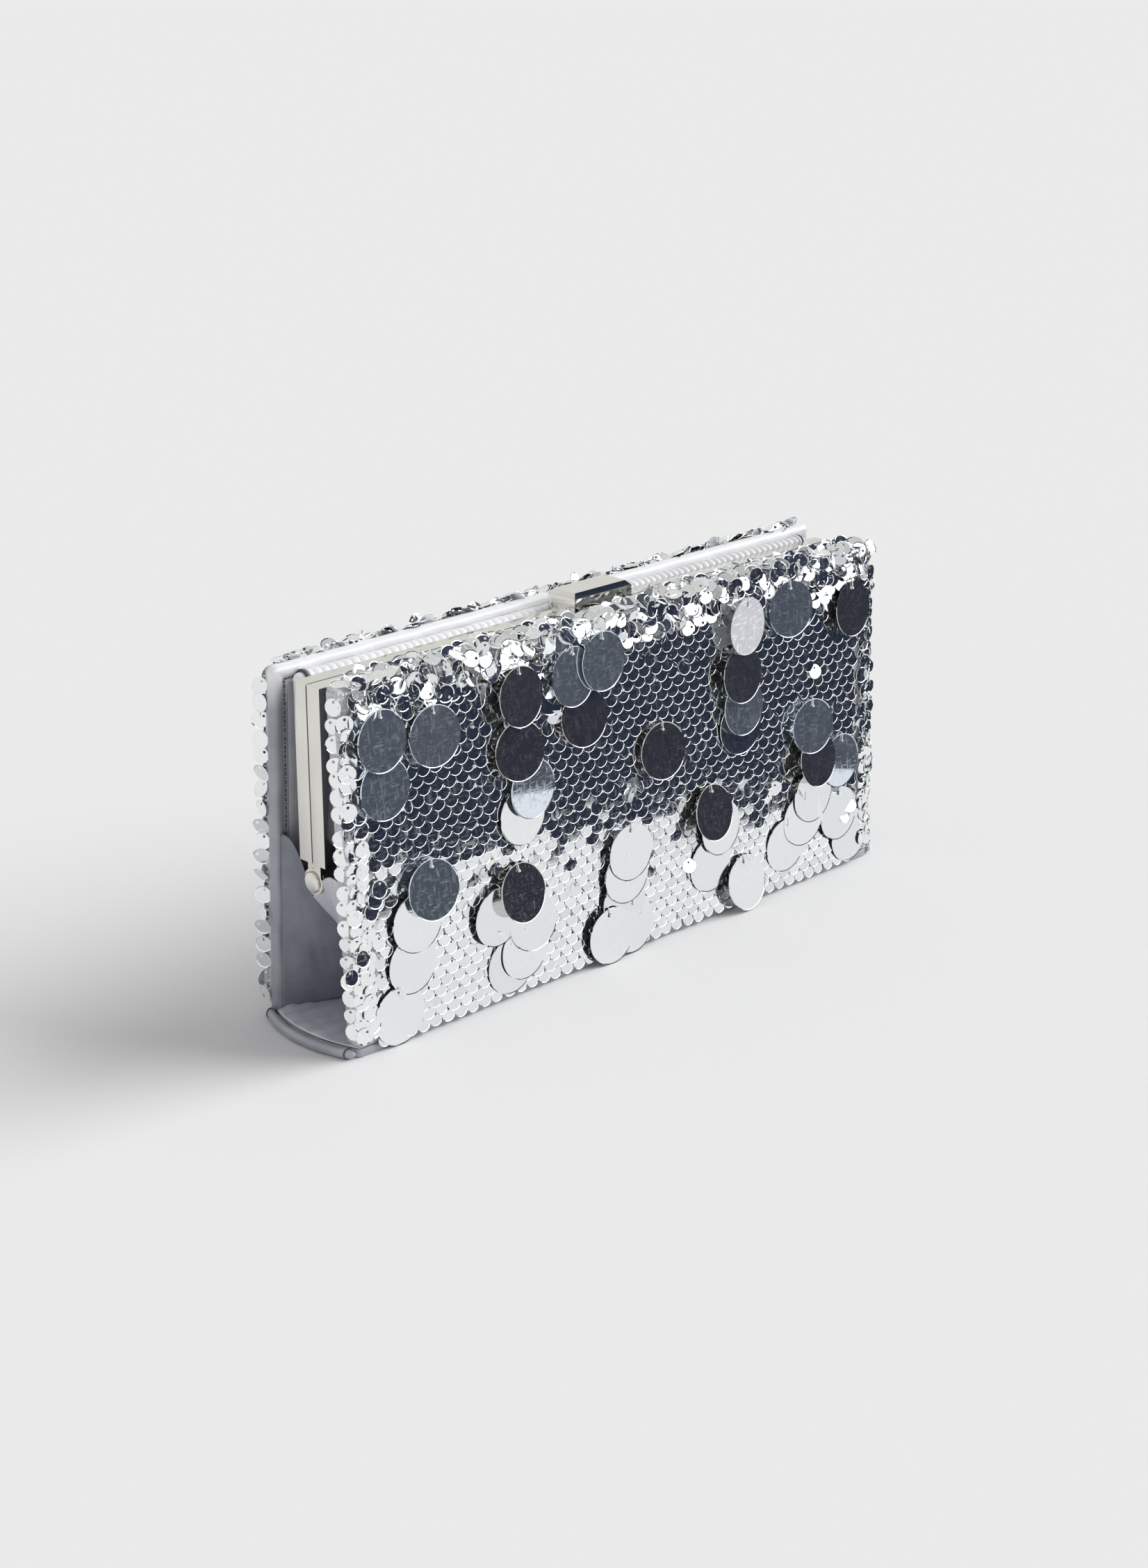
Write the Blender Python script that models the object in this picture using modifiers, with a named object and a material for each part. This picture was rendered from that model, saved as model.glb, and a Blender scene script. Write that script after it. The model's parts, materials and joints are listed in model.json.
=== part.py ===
"""Evening bag: a box clutch of two stiff sequin-covered panels on a satin base, with a riveted metal frame.

Metres, +Z up. The origin is under the middle of the base, +X runs along the bag's length, -Y is the front.
Each sub-part is one named object in the collection evening_bag. Every moving group hangs from an empty that
lies on its joint's axis: the panels swing about their outer bottom edges, each frame half folds about the top
inner edge of its panel, the lock cap turns on its pin, and each large paillette swings from its thread hole.
"""

from math import atan2, cos, pi, radians, sin, tan

import bmesh
import bpy
from mathutils import Matrix, Vector

# ---- overall sizes ----
LENGTH = 0.2460
HEIGHT = 0.1200
DEPTH_BASE = 0.0460
DEPTH_TOP = 0.0354
GAP = 0.0003

# ---- base ----
BASE_COVER = 0.0005
BASE_BOARD = 0.0020
BASE_LINING = 0.0004
PIPING_RADIUS = 0.0016
PIPING_LIFT = 0.0001
BASE_SETBACK = 0.0004

# ---- panels, from the outside in ----
CLOTH = 0.0007
FOAM = 0.0015
BOARD = 0.0020
LINING = 0.0005
SHOULDER_RADIUS = 0.0016
BACK_CLOTH_WRAP = 0.0024

# ---- frame ----
FRAME_INSET = 0.0025
FRAME_DROP = 0.0026
CHANNEL_WIDTH = 0.00605
FLANGE = 0.0090
FRAME_WALL = 0.0008
CORD_RADIUS = 0.0011
CORD_INSET = 0.0014
RIVET_HEIGHT = 0.0526
RIVET_RADIUS = 0.0012
RIVET_HEAD_RADIUS = 0.0035
RIVET_HEAD_RISE = 0.0015
RIVET_TAIL_RADIUS = 0.0021
RIVET_TAIL = 0.0006
RIVET_FIT = 0.00015
TAB_RADIUS = 0.0044
TAB_CLEARANCE = 0.0016
TAB_SLACK = 0.0014
TAB_WELD = 0.0040

# ---- soft facings, satin roll and gussets ----
FACING = 0.0005
TOP_FACING = 0.0010
TOP_FACING_DROP = 0.0008
FACING_END = 0.0025
ROLL_HEIGHT = 0.0046
ROLL_RISE = 0.0008
ROLL_EDGE = 0.0019
LEAF = 0.0005
LEAF_SIDE_INSET = 0.0012
CREASE_REACH = 0.0370
CREASE_TOP_INSET = 0.0045
CREASE_TOP_DROP = 0.0058
LEAF_TOP_RISE = 0.0040

# ---- lock ----
CAP_LENGTH = 0.0264
CAP_DEPTH = 0.0128
CAP_HEIGHT = 0.0074
CAP_WALL = 0.0008
CAP_CHAMFER = 0.0016
PIN_RADIUS = 0.00075
PIN_FIT = 0.00012
PIN_BEHIND = 0.0040
PIN_ABOVE = 0.0024
CAP_TAIL_SETBACK = 0.0016
CAP_TAIL_DROP = 0.00105
CAP_BACK_RISE = 0.0003
EAR = 0.0010
EAR_RADIUS = 0.0013
EAR_REACH = 0.0100
LOCK_PLATE = 0.0004
LOCK_PLATE_DEPTH = 0.0044
SPRING_WIRE = 0.00022
SPRING_RADIUS = 0.00120
SPRING_TURNS = 5
SPRING_PITCH = 0.0007
SPRING_LEG = 0.0026
CATCH_LENGTH = 0.0070
CATCH_DEPTH = 0.0022
CATCH_HEIGHT = 0.0009
NOTCH_CLEARANCE = 0.0006

# ---- paillettes ----
PAILLETTE_RADIUS = 0.0100
PAILLETTE_THICK = 0.0003
PAILLETTE_HOLE = 0.0008
PAILLETTE_HANG = 0.0078
PAILLETTE_STANDOFF = 0.0026
PAILLETTE_SWING = radians(12)
# Centres, as shares of the half length and of the height, in cascades from the left end to the right.
PAILLETTES = (
    (-0.89, 0.85), (-0.88, 0.72), (-0.715, 0.82),
    (-0.75, 0.41), (-0.80, 0.33),
    (-0.43, 0.86), (-0.43, 0.71), (-0.39, 0.59), (-0.45, 0.31),
    (-0.235, 0.87), (-0.13, 0.89), (-0.195, 0.745),
    (-0.035, 0.31), (-0.05, 0.245), (0.10, 0.575), (0.29, 0.34),
    (0.44, 0.865), (0.415, 0.725), (0.425, 0.625), (0.61, 0.88), (0.895, 0.82),
    (0.71, 0.50), (0.735, 0.39), (0.85, 0.355),
)

# ---- worked out from the sizes above ----
BASE_TOP = BASE_COVER + GAP + BASE_BOARD + GAP + BASE_LINING
PANEL_FOOT = BASE_TOP + GAP
LEAN = atan2((DEPTH_BASE - DEPTH_TOP) / 2, HEIGHT)
PANEL_HEIGHT = (HEIGHT - PANEL_FOOT) / cos(LEAN)
FOAM_AT = CLOTH + GAP
BOARD_AT = FOAM_AT + FOAM + GAP
LINING_AT = BOARD_AT + BOARD + GAP
PANEL_THICK = LINING_AT + LINING
FRAME_TOP = HEIGHT - FRAME_DROP
FRAME_END = LENGTH / 2 - FRAME_INSET
FRAME_SIDE = GAP / 2 + CHANNEL_WIDTH
ARM_FOOT = RIVET_HEIGHT + TAB_RADIUS + TAB_CLEARANCE
CAP_FOOT = FRAME_TOP + GAP
PIN_HEIGHT = FRAME_TOP + PIN_ABOVE
FAR = 0.01

COLOURS = {
    "satin": ((0.36, 0.37, 0.43), 0.45, 0.0),
    "lining_satin": ((0.42, 0.43, 0.48), 0.5, 0.0),
    "sequin_cloth": ((0.74, 0.75, 0.77), 0.3, 0.4),
    "greyboard": ((0.42, 0.41, 0.39), 0.9, 0.0),
    "foam": ((0.85, 0.84, 0.80), 0.95, 0.0),
    "nickel": ((0.80, 0.79, 0.76), 0.18, 1.0),
    "spring_steel": ((0.55, 0.55, 0.56), 0.3, 1.0),
    "paper_cord": ((0.72, 0.66, 0.55), 0.9, 0.0),
    "mirror_film": ((0.88, 0.89, 0.91), 0.05, 1.0),
}


def clear_scene():
    for old in list(bpy.data.objects):
        bpy.data.objects.remove(old, do_unlink=True)


def collection(name):
    made = bpy.data.collections.new(name)
    bpy.context.scene.collection.children.link(made)
    return made


def principled(name, colour, roughness, metallic):
    material = bpy.data.materials.new(name)
    material.use_nodes = True
    shader = material.node_tree.nodes["Principled BSDF"]
    shader.inputs["Base Color"].default_value = (*colour, 1.0)
    shader.inputs["Roughness"].default_value = roughness
    shader.inputs["Metallic"].default_value = metallic
    return material


clear_scene()
BAG = collection("evening_bag")
CUTTERS = collection("cutters")
MATERIALS = {name: principled(name, *look) for name, look in COLOURS.items()}


# ---- helpers ----
def pivot(name, place, tilt=(0.0, 0.0, 0.0), parent=None):
    """An empty on a joint's axis, given in world coordinates."""
    empty = bpy.data.objects.new(name, None)
    empty.empty_display_size = 0.01
    BAG.objects.link(empty)
    hang(empty, parent)
    empty.location = place
    empty.rotation_euler = tilt
    bpy.context.view_layer.update()
    return empty


def hang(piece, parent, local=False):
    """Parents a piece. Unless local is set, its location stays in world coordinates."""
    if parent is None:
        return
    piece.parent = parent
    if not local:
        piece.matrix_parent_inverse = parent.matrix_world.inverted()


def finish(piece, material, parent, local=False):
    """Puts a piece in the bag's collection with its material."""
    BAG.objects.link(piece)
    piece.data.materials.append(MATERIALS[material])
    hang(piece, parent, local)
    return piece


def helper(piece, parent, local=False):
    """Puts a boolean operand among the cutters, out of the render."""
    CUTTERS.objects.link(piece)
    piece.hide_render = True
    piece.display_type = "WIRE"
    hang(piece, parent, local)
    return piece


def box(name, low, high, radius=0.0, rounded=None, segments=3):
    """A cube between two corners; the edges whose middle passes rounded() are bevelled by radius."""
    low = Vector(low)
    high = Vector(high)
    size = high - low
    shape = bmesh.new()
    bmesh.ops.create_cube(shape, size=1.0)
    bmesh.ops.scale(shape, vec=size, verts=shape.verts)
    if radius:
        chosen = [edge for edge in shape.edges if rounded is None or rounded(edge_middle(edge))]
        bmesh.ops.bevel(shape, geom=chosen, offset=radius, segments=segments, profile=0.5, affect="EDGES")
    mesh = bpy.data.meshes.new(name)
    shape.to_mesh(mesh)
    shape.free()
    made = bpy.data.objects.new(name, mesh)
    made.location = (low + high) / 2
    return made


def edge_middle(edge):
    return (edge.verts[0].co + edge.verts[1].co) / 2


def rod(name, start, length, radius, segments=24):
    """A cylinder along +X from a starting point."""
    shape = bmesh.new()
    bmesh.ops.create_cone(
        shape, cap_ends=True, segments=segments, radius1=radius, radius2=radius, depth=length,
        matrix=Matrix.Rotation(pi / 2, 4, "Y"),
    )
    mesh = bpy.data.meshes.new(name)
    shape.to_mesh(mesh)
    shape.free()
    mesh.shade_smooth()
    mesh.set_sharp_from_angle(angle=radians(40))
    made = bpy.data.objects.new(name, mesh)
    made.location = Vector(start) + Vector((length / 2, 0, 0))
    return made


def combine(piece, other, operation="DIFFERENCE"):
    modifier = piece.modifiers.new(other.name, "BOOLEAN")
    modifier.operation = operation
    modifier.object = other


def sheet(name, columns, thickness):
    """A thin solid: rows of points, joined into a surface that Solidify thickens to both sides."""
    shape = bmesh.new()
    rows = [[shape.verts.new(point) for point in column] for column in columns]
    for first, second in zip(rows, rows[1:]):
        for a, b, c, d in zip(first, second, second[1:], first[1:]):
            shape.faces.new((a, b, c, d))
    mesh = bpy.data.meshes.new(name)
    shape.to_mesh(mesh)
    shape.free()
    made = bpy.data.objects.new(name, mesh)
    wall = made.modifiers.new("thickness", "SOLIDIFY")
    wall.thickness = thickness
    wall.offset = 0.0
    return made


def wire(name, points, radius, resolution=2):
    """A round wire through points."""
    curve = bpy.data.curves.new(name, "CURVE")
    curve.dimensions = "3D"
    curve.bevel_depth = radius
    curve.bevel_resolution = resolution
    curve.use_fill_caps = True
    spline = curve.splines.new("POLY")
    spline.points.add(len(points) - 1)
    for target, point in zip(spline.points, points):
        target.co = (*point, 1.0)
    return bpy.data.objects.new(name, curve)


def blend(a, b, share):
    return Vector(a).lerp(Vector(b), share)


# ---- base: board in a satin tray, satin lining on top, a satin roll across each end ----
def make_base():
    end = LENGTH / 2 - 2 * PIPING_RADIUS - GAP
    side = DEPTH_BASE / 2 - BASE_SETBACK
    rim = BASE_TOP - BASE_LINING - GAP
    cover = finish(box("base_cover", (-end, -side, 0), (end, side, rim)), "satin", None)
    inner = BASE_COVER
    hollow = box("base_cover_hollow", (inner - end, inner - side, inner), (end - inner, side - inner, FAR))
    combine(cover, helper(hollow, None))
    edge = BASE_COVER + GAP
    low = (edge - end, edge - side, edge)
    finish(box("base_board", low, (end - edge, side - edge, edge + BASE_BOARD)), "greyboard", None)
    finish(box("base_lining", (-end, -side, rim + GAP), (end, side, BASE_TOP)), "satin", None)
    for name, way in (("base_piping_left", -1), ("base_piping_right", 1)):
        x = way * (LENGTH / 2 - PIPING_RADIUS)
        z = PIPING_RADIUS + PIPING_LIFT
        finish(wire(name, ((x, -side, z), (x, side, z)), PIPING_RADIUS, 4), "satin", None)


# ---- panels: built in the frame of their own hinge, outer face at y = 0, thickness towards +y ----
def panel_layer(name, inset, start, thickness, material, hinge):
    half = LENGTH / 2 - inset
    low = (-half, start, inset)
    high = (half, start + thickness, PANEL_HEIGHT - inset)
    return finish(box(name, low, high), material, hinge, local=True)


def outer_edges(middle):
    """The edges round a panel's outer face, and the two short edges at its top corners."""
    at_face = middle.y < -CLOTH
    at_top_corner = middle.z > PANEL_HEIGHT / 4 and abs(middle.x) > LENGTH / 4 and abs(middle.y) < CLOTH
    return (at_face and middle.z > -PANEL_HEIGHT / 4) or at_top_corner


def make_panel(side, hinge, wrap):
    """The sequin cloth is a tray that wraps the foam and board; the lining closes it on the inside."""
    half = LENGTH / 2
    tray = box(
        side + "_sequin_cloth", (-half, 0, 0), (half, wrap, PANEL_HEIGHT), SHOULDER_RADIUS, outer_edges
    )
    finish(tray, "sequin_cloth", hinge, local=True)
    low = (CLOTH - half, CLOTH, CLOTH)
    hollow = box(side + "_cloth_hollow", low, (half - CLOTH, FAR, PANEL_HEIGHT - CLOTH))
    combine(tray, helper(hollow, hinge, local=True))
    inset = CLOTH + GAP
    panel_layer(side + "_foam", inset, FOAM_AT, FOAM, "foam", hinge)
    panel_layer(side + "_board", inset, BOARD_AT, BOARD, "greyboard", hinge)
    panel_layer(side + "_lining", inset, LINING_AT, LINING, "lining_satin", hinge)


def make_back_binding(hinge):
    """A satin strip round the two sides and the top of the back panel, inside the edge of its cloth."""
    half = LENGTH / 2
    low = (-half, BACK_CLOTH_WRAP + GAP, 0)
    strip = box("back_binding", low, (half, PANEL_THICK, PANEL_HEIGHT))
    finish(strip, "satin", hinge, local=True)
    low = (CLOTH - half, 0, -FAR)
    hollow = box("back_binding_hollow", low, (half - CLOTH, FAR, PANEL_HEIGHT - CLOTH))
    combine(strip, helper(hollow, hinge, local=True))


def inner_face(height, way):
    """Y of a panel's inner face at a world height. way is -1 for the front panel and 1 for the back."""
    return way * (DEPTH_BASE / 2 - PANEL_THICK / cos(LEAN) - (height - PANEL_FOOT) * tan(LEAN))


def make_gusset_leaf(name, way, end, hinge):
    """One leaf of a folded side: from the crease in the middle out to the panel's inner edge."""
    crease_top = Vector((end * (FRAME_END - CREASE_TOP_INSET), way * LEAF, RIVET_HEIGHT - CREASE_TOP_DROP))
    foot = BASE_TOP + GAP + LEAF
    crease_foot = Vector((end * (FRAME_END - CREASE_TOP_INSET - CREASE_REACH), way * LEAF, foot))
    edge_x = end * (LENGTH / 2 - LEAF_SIDE_INSET)
    off = way * (GAP + LEAF)
    top = RIVET_HEIGHT + LEAF_TOP_RISE
    edge_top = Vector((edge_x, inner_face(top, way) - off, top))
    edge_foot = Vector((edge_x, inner_face(foot, way) - off, foot))
    steps = 6
    columns = []
    for column in range(steps + 1):
        share = column / steps
        high = blend(crease_top, edge_top, share)
        low = blend(crease_foot, edge_foot, share)
        columns.append([blend(low, high, row / steps) for row in range(steps + 1)])
    finish(sheet(name, columns, LEAF), "satin", hinge)


# ---- frame ----
def make_channel(side, way, fold):
    """An inverted U of channel, open inwards, whose arms end in riveted tabs.

    The front half's tabs lie outside and the back half's inside, one wall and a gap further in.
    """
    inner = way * GAP / 2
    outer = way * FRAME_SIDE
    near, far = sorted((inner, outer))
    channel = box(side + "_frame_channel", (-FRAME_END, near, ARM_FOOT), (FRAME_END, far, FRAME_TOP))
    finish(channel, "nickel", fold)
    clear = FRAME_END - FLANGE
    mouth = box(side + "_frame_mouth", (-clear, near - FAR, 0), (clear, far + FAR, FRAME_TOP - FLANGE))
    combine(channel, helper(mouth, fold))
    low = (FRAME_WALL - FRAME_END, near + FRAME_WALL, 0)
    high = (FRAME_END - FRAME_WALL, far - FRAME_WALL, FRAME_TOP - FRAME_WALL)
    combine(channel, helper(box(side + "_frame_hollow", low, high), fold))
    inside = way > 0
    hole = RIVET_RADIUS + (RIVET_FIT if inside else TAB_SLACK)
    for end in (-1, 1):
        tag = side + ("_tab_left" if end < 0 else "_tab_right")
        depth = (FRAME_WALL + GAP) if inside else 0.0
        face = FRAME_END - depth
        x_low, x_high = sorted((end * face, end * (face - FRAME_WALL)))
        disc = rod(tag + "_disc", (x_low, 0, RIVET_HEIGHT), FRAME_WALL, TAB_RADIUS, 32)
        combine(channel, helper(disc, fold), "UNION")
        neck_low, neck_high = sorted((inner, way * (TAB_RADIUS - GAP)))
        top = ARM_FOOT + (TAB_WELD + GAP if inside else GAP)
        neck = box(tag + "_neck", (x_low, neck_low + GAP, RIVET_HEIGHT), (x_high, neck_high - GAP, top))
        combine(channel, helper(neck, fold), "UNION")
        if inside:
            x_low, x_high = sorted((end * (FRAME_END - FRAME_WALL / 2), end * (face - FRAME_WALL / 2)))
            low = (x_low, neck_low + 2 * GAP, ARM_FOOT + GAP)
            weld = box(tag + "_weld", low, (x_high, neck_high - 2 * GAP, ARM_FOOT + TAB_WELD))
            combine(channel, helper(weld, fold), "UNION")
        bore = rod(tag + "_bore", (end * FRAME_END - FAR / 2, 0, RIVET_HEIGHT), FAR, hole)
        combine(channel, helper(bore, fold))


def make_frame_cord(side, way, fold):
    """Paper cord that is pressed into the channel with the cloth."""
    x = FRAME_END - FRAME_WALL - GAP - CORD_INSET - CORD_RADIUS
    y = way * (GAP / 2 + CHANNEL_WIDTH / 2)
    top = FRAME_TOP - FRAME_WALL - GAP - CORD_RADIUS
    foot = ARM_FOOT + TAB_WELD + 2 * CORD_RADIUS
    bend = 2 * CORD_RADIUS
    points = [(-x, y, foot)]
    for centre, start in ((bend - x, pi), (x - bend, pi / 2)):
        for step in range(5):
            angle = start - step * pi / 8
            points.append((centre + bend * cos(angle), y, top - bend + bend * sin(angle)))
    points.append((x, y, foot))
    finish(wire(side + "_frame_cord", points, CORD_RADIUS), "paper_cord", fold)


def make_rivet(name, end, fold):
    """A domed rivet turned about X: head outside the tabs, shank through both, burr inside."""
    grip = 2 * FRAME_WALL + GAP + 2 * RIVET_FIT
    profile = [(0.0, RIVET_HEAD_RISE)]
    for step in range(1, 6):
        angle = pi / 2 - step * pi / 10
        profile.append((RIVET_HEAD_RADIUS * cos(angle), RIVET_HEAD_RISE * (0.25 + 0.75 * sin(angle))))
    profile += [
        (RIVET_HEAD_RADIUS, 0.0), (RIVET_RADIUS, 0.0), (RIVET_RADIUS, -grip),
        (RIVET_TAIL_RADIUS, -grip), (RIVET_TAIL_RADIUS, -grip - RIVET_TAIL), (0.0, -grip - RIVET_TAIL),
    ]
    mesh = bpy.data.meshes.new(name)
    points = [(x, 0.0, z) for x, z in profile]
    mesh.from_pydata(points, [(i, i + 1) for i in range(len(points) - 1)], [])
    rivet = bpy.data.objects.new(name, mesh)
    turn = rivet.modifiers.new("turn", "SCREW")
    turn.steps = 24
    turn.render_steps = 24
    turn.use_merge_vertices = True
    turn.merge_threshold = 0.00001
    finish(rivet, "nickel", fold)
    rivet.rotation_euler = (0, end * pi / 2, 0)
    rivet.location = (end * (FRAME_END + RIVET_FIT), 0, RIVET_HEIGHT)


# ---- soft strips between the frame and the panels ----
def make_side_facing(name, way, end, fold):
    """Lining strip beside an arm: out of the channel's mouth, round the flange and across to the panel."""
    mouth = FRAME_END - FLANGE
    mid = way * (GAP / 2 + CHANNEL_WIDTH / 2)
    clear = GAP + FACING
    low = ARM_FOOT + FACING_END
    high = FRAME_TOP - FLANGE - GAP
    columns = []
    for step in range(7):
        z = low + (high - low) * step / 6
        panel = inner_face(z, way) - way * clear
        path = (
            (end * (mouth + 2 * clear), mid), (end * (mouth - clear), mid),
            (end * (mouth - clear), way * (FRAME_SIDE + clear)),
            (end * mouth, panel),
        )
        columns.append([(x, y, z) for x, y in path])
    finish(sheet(name, columns, FACING), "lining_satin", fold)


def strip_between(name, way, height, top, radius, material, fold):
    """A strip that fills the valley between the frame's flange and the panel's top edge."""
    flange = way * (FRAME_SIDE + GAP)
    panel = inner_face(top - height / 2, way) - way * (GAP + radius / 4)
    near, far = sorted((flange, panel))
    low = (-FRAME_END + FRAME_INSET, near, top - height)
    high = (FRAME_END - FRAME_INSET, far, top)
    finish(box(name, low, high, radius, lambda middle: abs(middle.x) < GAP), material, fold)


# ---- lock ----
def make_lock(front_fold, back_fold, cap_pivot):
    half = CAP_LENGTH / 2
    deep = CAP_DEPTH / 2
    top = CAP_FOOT + CAP_HEIGHT
    cap = box("lock_cap", (-half, -deep, CAP_FOOT), (half, deep, top), CAP_CHAMFER, lambda m: m.z > 0.002, 1)
    finish(cap, "nickel", cap_pivot)
    wall = CAP_WALL
    low = (wall - half, wall - deep, CAP_FOOT - FAR)
    hollow = box(
        "cap_hollow", low, (half - wall, deep - wall, top - wall), CAP_CHAMFER - wall / 2, lambda m: m.z > 0.002, 1
    )
    tail = box(
        "cap_tail_cut", (-FAR - half, deep - CAP_TAIL_SETBACK, CAP_FOOT - FAR),
        (FAR + half, deep + FAR, PIN_HEIGHT - CAP_TAIL_DROP),
    )
    back_slot = box(
        "cap_back_slot", (wall - half, deep - 2 * wall, CAP_FOOT - FAR),
        (half - wall, deep + FAR, PIN_HEIGHT + CAP_BACK_RISE),
    )
    notch_half = CATCH_LENGTH / 2 + NOTCH_CLEARANCE
    notch_top = FRAME_TOP + GAP + CATCH_HEIGHT + NOTCH_CLEARANCE
    notch = box(
        "cap_notch", (-notch_half, -deep - FAR, CAP_FOOT - FAR), (notch_half, wall / 2 + wall - deep, notch_top)
    )
    pin_at = Vector((-half, PIN_BEHIND, PIN_HEIGHT))
    bore = rod("cap_pin_bore", pin_at - Vector((FAR, 0, 0)), CAP_LENGTH + 2 * FAR, PIN_RADIUS + PIN_FIT)
    for cutter in (hollow, tail, back_slot, notch, bore):
        combine(cap, helper(cutter, cap_pivot))

    pin = rod("lock_pin", pin_at + Vector((GAP / 2, 0, 0)), CAP_LENGTH - GAP, PIN_RADIUS)
    finish(pin, "spring_steel", back_fold)

    foot = FRAME_TOP + GAP
    reach = EAR_REACH + EAR
    low = (-reach, PIN_BEHIND - LOCK_PLATE_DEPTH / 2 - EAR_RADIUS / 2, foot)
    high = (reach, PIN_BEHIND + EAR_RADIUS, foot + LOCK_PLATE)
    plate = finish(box("lock_hinge_plate", low, high), "nickel", back_fold)
    for tag, x in (("left", -EAR_REACH - EAR), ("right", EAR_REACH)):
        root = (x, PIN_BEHIND - EAR_RADIUS, foot + LOCK_PLATE / 2)
        post = box("ear_post_" + tag, root, (x + EAR, PIN_BEHIND + EAR_RADIUS, PIN_HEIGHT))
        combine(plate, helper(post, back_fold), "UNION")
        eye = rod("ear_eye_" + tag, (x, PIN_BEHIND, PIN_HEIGHT), EAR, EAR_RADIUS)
        combine(plate, helper(eye, back_fold), "UNION")
    plate_bore = rod("ear_bore", pin_at - Vector((FAR, 0, 0)), CAP_LENGTH + 2 * FAR, PIN_RADIUS + PIN_FIT)
    combine(plate, helper(plate_bore, back_fold))

    low = (-CATCH_LENGTH / 2, -FRAME_SIDE / 2 - CATCH_DEPTH / 2, foot)
    high = (CATCH_LENGTH / 2, -FRAME_SIDE / 2 + CATCH_DEPTH / 2, foot + CATCH_HEIGHT)
    catch = box("lock_catch", low, high, CATCH_HEIGHT / 3, lambda m: m.z > 0, 2)
    finish(catch, "nickel", front_fold)


def make_lock_spring(back_fold):
    """A torsion spring round the pin: one leg along the plate, the other up under the cap's roof."""
    per_turn = 12
    start = -SPRING_TURNS * SPRING_PITCH / 2
    points = []
    for step in range(SPRING_TURNS * per_turn + per_turn // 4 + 1):
        angle = -pi / 2 - 2 * pi * step / per_turn
        x = start + SPRING_PITCH * step / per_turn
        y = PIN_BEHIND + SPRING_RADIUS * cos(angle)
        points.append((x, y, PIN_HEIGHT + SPRING_RADIUS * sin(angle)))
    first = Vector(points[0])
    points.insert(0, first - Vector((0, SPRING_LEG, 0)))
    last = points[-1]
    roof = CAP_FOOT + CAP_HEIGHT - CAP_WALL - GAP - SPRING_WIRE
    points.append((last[0], last[1], roof))
    finish(wire("lock_spring", points, SPRING_WIRE), "spring_steel", back_fold)


# ---- paillettes ----
def paillette_layers(centres):
    """Each disc hangs in front of every lower one that it could touch as both swing."""
    reach = 2 * PAILLETTE_RADIUS + 2 * PAILLETTE_HANG * sin(PAILLETTE_SWING) + GAP
    layers = {}
    for this in sorted(centres, key=lambda centre: (centre[1], centre[0])):
        below = [layers[other] for other in layers if (Vector(this) - Vector(other)).length < reach]
        layers[this] = 1 + max(below) if below else 0
    return layers


def circle(curve, centre, radius, count):
    spline = curve.splines.new("POLY")
    spline.points.add(count - 1)
    spline.use_cyclic_u = True
    for step, point in enumerate(spline.points):
        angle = 2 * pi * step / count
        point.co = (centre[0] + radius * cos(angle), centre[1] + radius * sin(angle), 0.0, 1.0)


def make_paillettes(hinge):
    """Flat discs that share one outline, hanging from their thread holes parallel to the front panel."""
    outline = bpy.data.curves.new("paillette", "CURVE")
    outline.dimensions = "2D"
    outline.fill_mode = "BOTH"
    outline.extrude = PAILLETTE_THICK / 2
    circle(outline, (0, -PAILLETTE_HANG), PAILLETTE_RADIUS, 28)
    circle(outline, (0, 0), PAILLETTE_HOLE, 8)
    outline.materials.append(MATERIALS["mirror_film"])
    room = LENGTH / 2
    centres = [(across * room, up * HEIGHT) for across, up in PAILLETTES]
    layers = paillette_layers(centres)
    for number, centre in enumerate(centres, 1):
        disc = bpy.data.objects.new("paillette_%02d" % number, outline)
        BAG.objects.link(disc)
        hang(disc, hinge, local=True)
        out = PAILLETTE_STANDOFF + layers[centre] * (PAILLETTE_THICK + GAP)
        disc.rotation_euler = (pi / 2, 0, 0)
        disc.location = (centre[0], -out, centre[1] - PANEL_FOOT + PAILLETTE_HANG)


def main():
    make_base()
    half_depth = DEPTH_BASE / 2
    front_hinge = pivot("front_panel_hinge", (0, -half_depth, PANEL_FOOT), (-LEAN, 0, 0))
    back_hinge = pivot("back_panel_hinge", (0, half_depth, PANEL_FOOT), (-LEAN, 0, pi))
    make_panel("front", front_hinge, PANEL_THICK)
    make_panel("back", back_hinge, BACK_CLOTH_WRAP)
    make_back_binding(back_hinge)
    folds = {}
    for side, way, hinge in (("front", -1, front_hinge), ("back", 1, back_hinge)):
        fold_at = (0, inner_face(FRAME_TOP, way), FRAME_TOP)
        fold = pivot(side + "_frame_fold", fold_at, parent=hinge)
        folds[side] = fold
        make_channel(side, way, fold)
        make_frame_cord(side, way, fold)
        for name, end in (("left", -1), ("right", 1)):
            make_gusset_leaf("gusset_leaf_" + side + "_" + name, way, end, hinge)
            make_side_facing(side + "_side_facing_" + name, way, end, fold)
    facing_top = FRAME_TOP - TOP_FACING_DROP + TOP_FACING
    strip_between("front_top_facing", -1, TOP_FACING, facing_top, TOP_FACING / 3, "sequin_cloth", folds["front"])
    strip_between("back_satin_roll", 1, ROLL_HEIGHT, FRAME_TOP + ROLL_RISE, ROLL_EDGE, "satin", folds["back"])
    make_rivet("rivet_left", -1, folds["back"])
    make_rivet("rivet_right", 1, folds["back"])
    cap_pivot = pivot("lock_cap_hinge", (0, PIN_BEHIND, PIN_HEIGHT), parent=folds["back"])
    make_lock(folds["front"], folds["back"], cap_pivot)
    make_lock_spring(folds["back"])
    make_paillettes(front_hinge)


main()
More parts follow.
